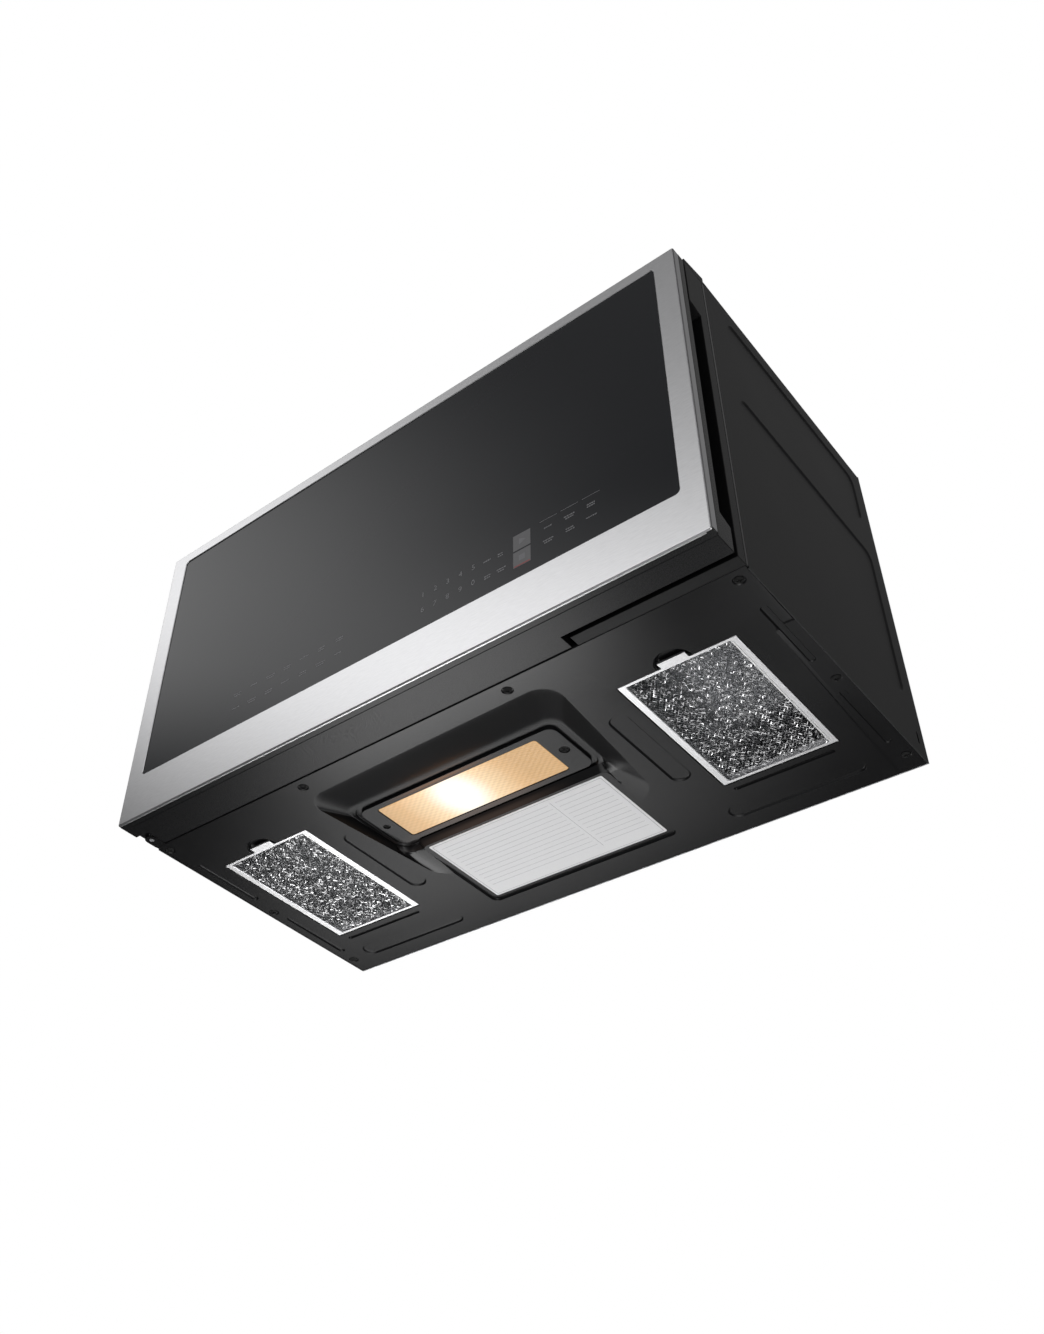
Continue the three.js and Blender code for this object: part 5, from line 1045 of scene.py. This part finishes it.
    def filter_pocket(self, x: float) -> list[bmesh.types.BMesh]:
        """The hollows of one filter's pocket: its seat, its way through and its finger dimple."""
        width, length = FILTER_WIDTH, FILTER_LENGTH
        y = FILTER_FRONT + length / 2
        under = UNDERSIDE - LEAD
        seat = drawn(plate(Side.UP, rectangle(x, y, width, length, grow=1.6), under, 2.4, 3),
                     [(0.5, 0.5), (0.3, 0.6), (0.0, 8.0)])
        through = drawn(plate(Side.UP, rectangle(x, y, width, length, grow=-4.2), 0.0, 2.0, 3), [(0.0, 60.0)])
        dimple = drawn(disc(Side.UP, (x, FILTER_FRONT - 0.8), 20.5, under, 40),
                       soft_wall(5.5, 5.5, steps=7))
        return [seat, through, dimple]

    def screw_heads(self) -> None:
        """The screws that hold the base plate."""
        heads = [cross_head(Side.UP, middle, UNDERSIDE + 1.3, 4.5, 1.8) for middle in self.screws]
        fit("base_screws", merged(*heads), RECESS, "cabinet")

    def lamp_unit(self) -> None:
        """The screwed cover plate, its screws and the lit lens."""
        top = self.groove_ceiling - 0.3
        body = drawn(plate(Side.UP, rectangle(*self.lamp, grow=-0.8), self.lamp_face, self.lamp_round - 0.8),
                     [(-0.5, 0.25), (-0.3, 0.55), (0.0, top - self.lamp_face - 0.8)])
        hole = drawn(plate(Side.UP, rectangle(*self.lens, grow=0.3 + 0.9), self.lamp_face - 0.3, 3.9),
                     [(0.9, 0.9), (0.0, 5.0)])
        rebate = drawn(plate(Side.UP, rectangle(*self.lens, grow=3.3), top - 1.5), [(0.0, 3.0)])
        wells = [drawn(disc(Side.UP, (x, y), radius, self.lamp_face - 0.3), [(0.5, 0.5), (0.0, 1.6)])
                 for x, y, radius in self.lamp_screws]
        fit("lamp_cover", carved(body, [hole, rebate, *wells]), PAINT, "cabinet", ["lamp_cover_plate"])
        heads = [cross_head(Side.UP, (x, y), self.lamp_face + 1.7, radius - 0.8, 1.5)
                 for x, y, radius in self.lamp_screws]
        fit("lamp_screws", merged(*heads), RECESS, "cabinet")
        glass = drawn(plate(Side.UP, rectangle(*self.lens, grow=-0.6), self.lamp_face + 0.4, 2.4),
                      [(-0.4, 0.2), (-0.2, 0.4), (0.0, 0.7)])
        flange = drawn(plate(Side.UP, rectangle(*self.lens, grow=2.7), top - 1.2), [(0.0, 1.2)])
        fit("lamp_lens_glass", carved(glass, [flange], "UNION"), LENS_GLASS, "cabinet", ["lamp_lens"])

    def pale_plate(self) -> None:
        """The pale plate behind the lamp, bare but for a border and plain ruling."""
        x, y, width, length = self.plate_size
        level = UNDERSIDE + self.plate_depth
        face = drawn(plate(Side.DOWN, rectangle(x, y, width, length), level + 0.05, 2.0, 4),
                     [(0.0, 0.3), (0.15, 0.1)])
        fit("pale_plate", face, PALE_PLATE, "cabinet")
        lines = []

        def line(middle: Flat, size: Flat) -> None:
            """Adds one printed line."""
            mark = plate(Side.DOWN, rectangle(*middle, *size), level - 0.34)
            lines.append(drawn(mark, [(0.0, 0.04)]))

        for sign in (-1, 1):
            line((x, y + sign * (length / 2 - 3)), (width - 6, 0.5))
            line((x + sign * (width / 2 - 3), y), (0.5, length - 6.5))
        for row in range(12):
            place = y - length / 2 + 12 + row * 8.4
            line((x - 33, place), (146, 0.35))
            line((x + 78, place), (58, 0.35))
        line((x + 44, y - 4), (0.4, 102))
        fit("pale_plate_ruling", merged(*lines), RULING, "cabinet")


@dataclass
class GreaseFilter:
    """One grease filter: folded aluminium frame with its pull tab, and two layers of expanded foil."""

    side: str
    x: float
    front: float = FILTER_FRONT
    width: float = FILTER_WIDTH
    length: float = FILTER_LENGTH
    bottom: float = 1.5
    rail: float = 8.0
    cell: float = 4.0
    pitch: float = 2.7
    strand: float = 1.0
    crinkle: float = 0.42
    seed: int = 11

    def build(self) -> None:
        """Makes the frame and the foil."""
        body = f"filter_{self.side}"
        frame_mesh = softened(f"grease_filter_frame_{self.side}", 0.35)
        fit(f"folded_frame_{self.side}", frame_mesh, ALUMINIUM, body, [f"grease_filter_frame_{self.side}"])
        fit(f"rail_hems_{self.side}", self.hems(), ALUMINIUM, body)
        fit(f"foil_mesh_{self.side}", self.foil(), FOIL, body, [f"grease_filter_mesh_{self.side}"], 0.0)

    def foil(self) -> bmesh.types.BMesh:
        """Rows of slit and stretched foil, crinkled, in two layers."""
        draw = random.Random(self.seed + len(self.side))
        step, margin = self.cell / 2, 1.3
        columns = int((self.width - 2 * margin) / step) - 1
        half = columns * step / 2
        strip = bmesh.new()
        shape = Matrix.Diagonal((half * MM, self.strand / 2 * MM, 1.0, 1.0))
        bmesh.ops.create_grid(strip, x_segments=columns, y_segments=1, size=1.0, matrix=shape)
        bmesh.ops.solidify(strip, geom=strip.faces[:], thickness=0.15 * MM)
        creases = [(round((vert.co.x / MM + half) / step), 1 if vert.co.y > 0 else -1)
                   for vert in strip.verts]
        mesh = kept(strip, "strip")
        bm = bmesh.new()
        rows = int((self.length - 2 * margin) / self.pitch) - 1
        for layer, (level, shift) in enumerate(((2.9, 0.0), (5.4, 0.5))):
            for row in range(rows - layer):
                before = len(bm.verts)
                bm.from_mesh(mesh)
                bm.verts.ensure_lookup_table()
                aside = step / 2 if row % 2 else -step / 2
                place = at(self.x + aside, self.front + margin + (row + 1 + shift) * self.pitch, level)
                moves = [Vector([draw.uniform(-self.crinkle, self.crinkle) for _ in range(4)])
                         for _ in range(columns + 1)]
                for vert, (crease, edge) in zip(bm.verts[before:], creases):
                    x, y, z, twist = moves[crease]
                    y += 0.5 * math.sin(vert.co.x * 60 + layer) + (0.5 if crease % 2 else -0.5) * self.pitch
                    vert.co += place + Vector((x, y, z + edge * (0.25 + 1.3 * twist))) * MM
        bpy.data.meshes.remove(mesh)
        return bm

    def hems(self) -> bmesh.types.BMesh:
        """The folded hems along the inner edges of the two long rails."""
        start, end = self.front + 5, self.front + self.length - 5
        strips = []
        for sign in (-1, 1):
            x = self.x + sign * (self.width / 2 - self.rail + 1.4)
            hem = block((x - 0.9, x + 0.9), (start, end), (self.bottom - 0.45, self.bottom + 0.3))
            strips.append(bevelled(hem, 0.3, 2))
        return merged(*strips)


# ---------------------------------------------------------------- case and front
@dataclass
class Case:
    """The folded wrapper, the front frame, the strip beside the door, the grille and the back."""

    front: float = 61.3
    back: float = 413.5
    bend: float = 3.0
    press: float = 1.6
    press_y: Flat = (105.0, 391.0)
    press_z: tuple[Flat, ...] = ((327.0, 402.0), (73.0, 276.0))
    press_round: float = 14.0
    exhaust: tuple[float, float, float, float] = (0.0, 350.0, 262.0, 86.0)
    cord: Flat = (309.5, 355.0)
    bolts: tuple[float, ...] = (-289.5, 0.0, 289.5)

    def build(self) -> None:
        """Makes the pieces of the case."""
        self.wrapper()
        fit("front_sheet_frame", softened("front_frame", 0.3), PAINT, "cabinet", ["front_frame"])
        fit("bay_strip", softened("bay_front_panel", 0.6), PLASTIC, "cabinet", ["bay_front_panel"])
        fit("top_grille", softened("top_vent_grille", 0.5), PLASTIC, "cabinet", ["top_vent_grille"])
        fit("rear_plate", softened("back_plate", 0.25), ZINC, "cabinet", ["back_plate"])

    def wrapper(self) -> None:
        """The two sides and the top, one folded sheet with two pressed panels in each side."""
        body = block((-HALF, HALF), (self.front, self.back), (UNDERSIDE, CASE_HEIGHT))
        high = at(0, 0, CASE_HEIGHT).z
        edge = HALF * MM
        bevelled(body, self.bend, 5, lambda e: all(
            abs(v.co.z - high) < LOOSE and abs(abs(v.co.x) - edge) < LOOSE for v in e.verts))
        cutters = []
        for side, level in ((Side.RIGHTWARDS, -HALF - LEAD), (Side.LEFTWARDS, HALF + LEAD)):
            for span in self.press_z:
                outline = span_rectangle((self.press_y, span), 1.0)
                cutters.append(drawn(plate(side, outline, level, self.press_round + 1, 8),
                                     soft_wall(3.6, self.press)))
            cutters.append(drawn(plate(side, rectangle(399.5, 24.5, 3.4, 15), level, 1.6, 5), [(0.0, 8.0)]))
        top = CASE_HEIGHT + 1
        cutters.append(drawn(plate(Side.DOWN, rectangle(*self.exhaust), top), [(0.0, 20.0)]))
        cutters.append(rod(Side.DOWN, self.cord, 14.0, (top, top - 20), 32))
        cutters += [rod(Side.DOWN, (x, self.front + 50), 6.0, (top, top - 20), 20) for x in self.bolts]

        def hidden(middle: Vector) -> bool:
            """The open front, back and bottom, and what the holes leave inside."""
            open_end = abs(middle.y - self.front) < 0.01 or abs(middle.y - self.back) < 0.01
            inside = abs(middle.x) < HALF - 1.7 and middle.z < CASE_HEIGHT - 1.5
            return open_end or middle.z < UNDERSIDE + 0.01 or inside

        sheet = shelled(carved(body, cutters), hidden, SHEET)
        fit("folded_case", sheet, SIDE_PAINT, "cabinet", ["outer_case"], SOFT_PRESS)


@dataclass
class Inside:
    """The CAD nodes that are right as they are, each dressed in its own finish."""

    own: dict[str, Finish] = field(default_factory=lambda: {"door_screen": SCREEN})

    def build(self) -> None:
        """Dresses every node of the record."""
        for part in frame["record"]["subparts"]:
            node = frame["nodes"][part["node"]]
            finish = self.own.get(part["node"], BY_SLOT[part["material_slot"]])
            if not node.material_slots:
                node.data.materials.append(finish.material())
            for slot in node.material_slots:
                slot.material = finish.material()
            log.info("%s: dressed in %s", part["node"], finish.name)


# ---------------------------------------------------------------- studio
def aimed(place: Point, aim: Point) -> Matrix:
    """The place of a lamp or a sheet that looks at a point."""
    way = Vector(aim) - Vector(place)
    return Matrix.Translation(place) @ way.to_track_quat("-Z", "Y").to_matrix().to_4x4()


@dataclass(frozen=True)
class Glow:
    """A soft patch of light in the studio's surroundings."""

    towards: Point
    spread: Point
    strength: float

    def light(self, nodes: Nodes, direction: Val) -> Val:
        """The light that the patch sends from each direction."""
        way = Vector(self.towards).normalized()
        facing = way.to_track_quat("Z", "Y").to_euler()
        local = nodes.node("ShaderNodeMapping", {"vector_type": "TEXTURE"}, {
            "Vector": direction, "Location": tuple(way), "Rotation": tuple(facing), "Scale": self.spread})
        off = nodes.node("ShaderNodeVectorMath", {"operation": "LENGTH"}, {0: local}, "Value")
        return off.step(1.0, 0.0) * self.strength


@dataclass(frozen=True)
class SoftBox:
    """A glowing sheet near the object that the camera doesn't see.

    Across and up each hold four places on the sheet: no light, full light, full light and no light again.
    """

    name: str
    place: Point
    aim: Point
    across: tuple[float, float, float, float]
    up: tuple[float, float, float, float]
    strength: float
    colour: Point = (1.0, 1.0, 1.0)

    def build(self) -> None:
        """Makes the sheet and its light."""
        (x0, _, _, x1), (y0, _, _, y1) = self.across, self.up
        mesh = bpy.data.meshes.new(self.name)
        mesh.from_pydata([(x0, y0, 0), (x1, y0, 0), (x1, y1, 0), (x0, y1, 0)], [], [(0, 1, 2, 3)])
        shader = Shader(self.name)
        x, y, _ = shader.split(shader.coordinates())
        light: Number = self.strength
        for part, (dark, full, still, out) in ((x, self.across), (y, self.up)):
            light = part.step(dark, full) * part.step(out, still) * light
        light = light * shader.node("ShaderNodeNewGeometry", {}, {}, "Backfacing")
        glow = shader.node("ShaderNodeEmission", {}, {"Color": (*self.colour, 1), "Strength": light})
        clear = shader.node("ShaderNodeBsdfTransparent", {}, {})
        both = shader.node("ShaderNodeAddShader", {}, {0: glow, 1: clear})
        shader.node("ShaderNodeOutputMaterial", {}, {"Surface": both})
        mesh.materials.append(shader.material)
        thing = linked(self.name, mesh)
        thing.matrix_world = aimed(self.place, self.aim)
        thing.visible_camera = False
        thing.visible_shadow = False


@dataclass
class Studio:
    """Camera, floor, world, glowing sheets and lamp."""

    camera_place: Point = (0.736267, -1.168361, -1.052675)
    right: Point = (0.7563138, 0.6519435, 0.0543965)
    down: Point = (-0.3974477, 0.5239327, -0.7533458)
    forward: Point = (-0.5196390, 0.5481461, 0.6553710)
    lens: float = 37.17
    shift: Flat = (0.0977, -0.0177)
    floor_level: float = -1.6
    even_light: float = 0.08
    glows: tuple[Glow, ...] = (
        Glow((0.35, -0.45, -0.82), (0.9, 0.9, 1.2), 2.6),
        Glow((0.25, 0.60, 0.76), (0.6, 0.6, 0.9), 0.24),
        Glow((-0.10, -0.62, 0.76), (0.8, 0.7, 0.9), 0.30),
        Glow((0.47, -0.69, 0.53), (0.3, 0.3, 0.9), 1.6),
    )
    boxes: tuple[SoftBox, ...] = (
        SoftBox("door_box", (-1.25, -1.45, 1.3), (-0.1, -0.415, 0.0), (-0.85, -0.6, -0.1, 1.05),
                (-0.55, -0.1, -0.05, 0.85), 1.72),
        SoftBox("low_box", (-0.34, -1.85, 0.62), (0.2, -0.415, -0.1), (-1.1, 0.0, 0.3, 0.75),
                (-0.42, -0.3, 0.2, 0.76), 1.95),
        SoftBox("base_box", (-0.8, 0.95, -1.15), (-0.8, 0.95, 0.0), (-0.85, 0.0, 0.35, 1.0),
                (-0.35, 0.05, 0.1, 0.32), 2.7),
        SoftBox("strip_box", (-0.58, 0.45, -1.15), (-0.58, 0.45, 0.0), (-0.4, -0.1, 0.25, 0.6),
                (-0.3, -0.1, 0.05, 0.25), 7.5),
        SoftBox("right_box", (0.3, 0.58, -1.15), (0.3, 0.58, 0.0), (-0.45, -0.15, 0.15, 0.45),
                (-0.3, -0.1, 0.1, 0.3), 2.2),
        SoftBox("spill_front", tuple(at(-46, 161, 3)), tuple(at(-46, 161, 20)), (-0.09, 0.0, 0.0, 0.09),
                (-0.004, 0.0, 0.0, 0.004), 6.0, WARM),
        SoftBox("spill_back", tuple(at(-40, 233, 2)), tuple(at(-40, 233, 20)), (-0.12, -0.02, 0.02, 0.14),
                (-0.008, -0.003, 0.003, 0.008), 1.6, (1.0, 0.66, 0.5)),
    )

    def build(self) -> None:
        """Makes the studio round the object."""
        self.camera()
        self.floor()
        self.world()
        for box in self.boxes:
            box.build()
        self.lamps()
        bpy.context.scene.view_settings.view_transform = "Standard"

    def camera(self) -> None:
        """The camera, where the photograph was taken from."""
        data = bpy.data.cameras.new("camera")
        data.lens, data.sensor_width, data.sensor_fit = self.lens, 36.0, "AUTO"
        data.shift_x, data.shift_y = self.shift
        data.clip_start = 0.01
        thing = linked("camera", data)
        columns = (Vector(self.right), -Vector(self.down), -Vector(self.forward))
        matrix = Matrix([[c[i] for c in columns] for i in range(3)]).to_4x4()
        matrix.translation = Vector(self.camera_place)
        thing.matrix_world = matrix
        bpy.context.scene.camera = thing

    def floor(self) -> None:
        """A plain pale floor, well below the hanging oven. It glows for the camera alone."""
        bm = bmesh.new()
        bmesh.ops.create_grid(bm, x_segments=1, y_segments=1, size=60.0,
                              matrix=Matrix.Translation((0, 0, self.floor_level)))
        mesh = kept(bm, "floor")
        shader = Shader("pale_floor")
        camera = shader.node("ShaderNodeLightPath", {}, {}, "Is Camera Ray")
        mesh.materials.append(shader.done({"Base Color": (0.9, 0.9, 0.9, 1.0), "Roughness": 0.9,
                                           "Specular IOR Level": 0.1, "Emission Color": (0.9, 0.9, 0.9, 1.0),
                                           "Emission Strength": camera * 0.75}))
        thing = linked("floor", mesh)
        thing.visible_glossy = False
        thing.visible_diffuse = False

    def world(self) -> None:
        """White for the camera and through glass, and an even light with soft glows for the rest."""
        world = bpy.data.worlds.new("studio")
        bpy.context.scene.world = world
        nodes = Nodes(world)
        direction = nodes.node("ShaderNodeTexCoord", {}, {}, "Generated")
        light: Number = self.even_light
        for glow in self.glows:
            light = glow.light(nodes, direction) + light
        camera = nodes.node("ShaderNodeLightPath", {}, {}, "Is Camera Ray")
        through = nodes.node("ShaderNodeLightPath", {}, {}, "Is Transmission Ray")
        shown = camera.math("MAXIMUM", through)
        strength = shown + (1 - shown) * light
        back = nodes.node("ShaderNodeBackground", {}, {"Color": (1, 1, 1, 1), "Strength": strength})
        nodes.node("ShaderNodeOutputWorld", {}, {"Surface": back})

    @staticmethod
    def lamp(name: str, place: Point, aim: Point, size: Flat, power: float) -> None:
        """A soft rectangular lamp that looks at a point."""
        data = bpy.data.lights.new(name, "AREA")
        data.shape, data.size, data.size_y, data.energy = "RECTANGLE", *size, power
        thing = linked(name, data)
        thing.matrix_world = aimed(place, aim)
        thing.visible_camera = False

    def lamps(self) -> None:
        """A weak fill from beside the camera."""
        self.lamp("fill", (1.3, -1.9, -1.2), (0.0, -0.2, -0.1), (0.9, 0.9), 6)


def main() -> None:
    """Builds the microwave's looks and its studio."""
    logging.basicConfig(level=logging.INFO, format="%(name)s %(message)s")
    Inside().build()
    Door().build()
    Underside().build()
    for side, x in FILTERS.items():
        GreaseFilter(side, x).build()
    Case().build()
    Studio().build()


if __name__ == "__main__":
    main()
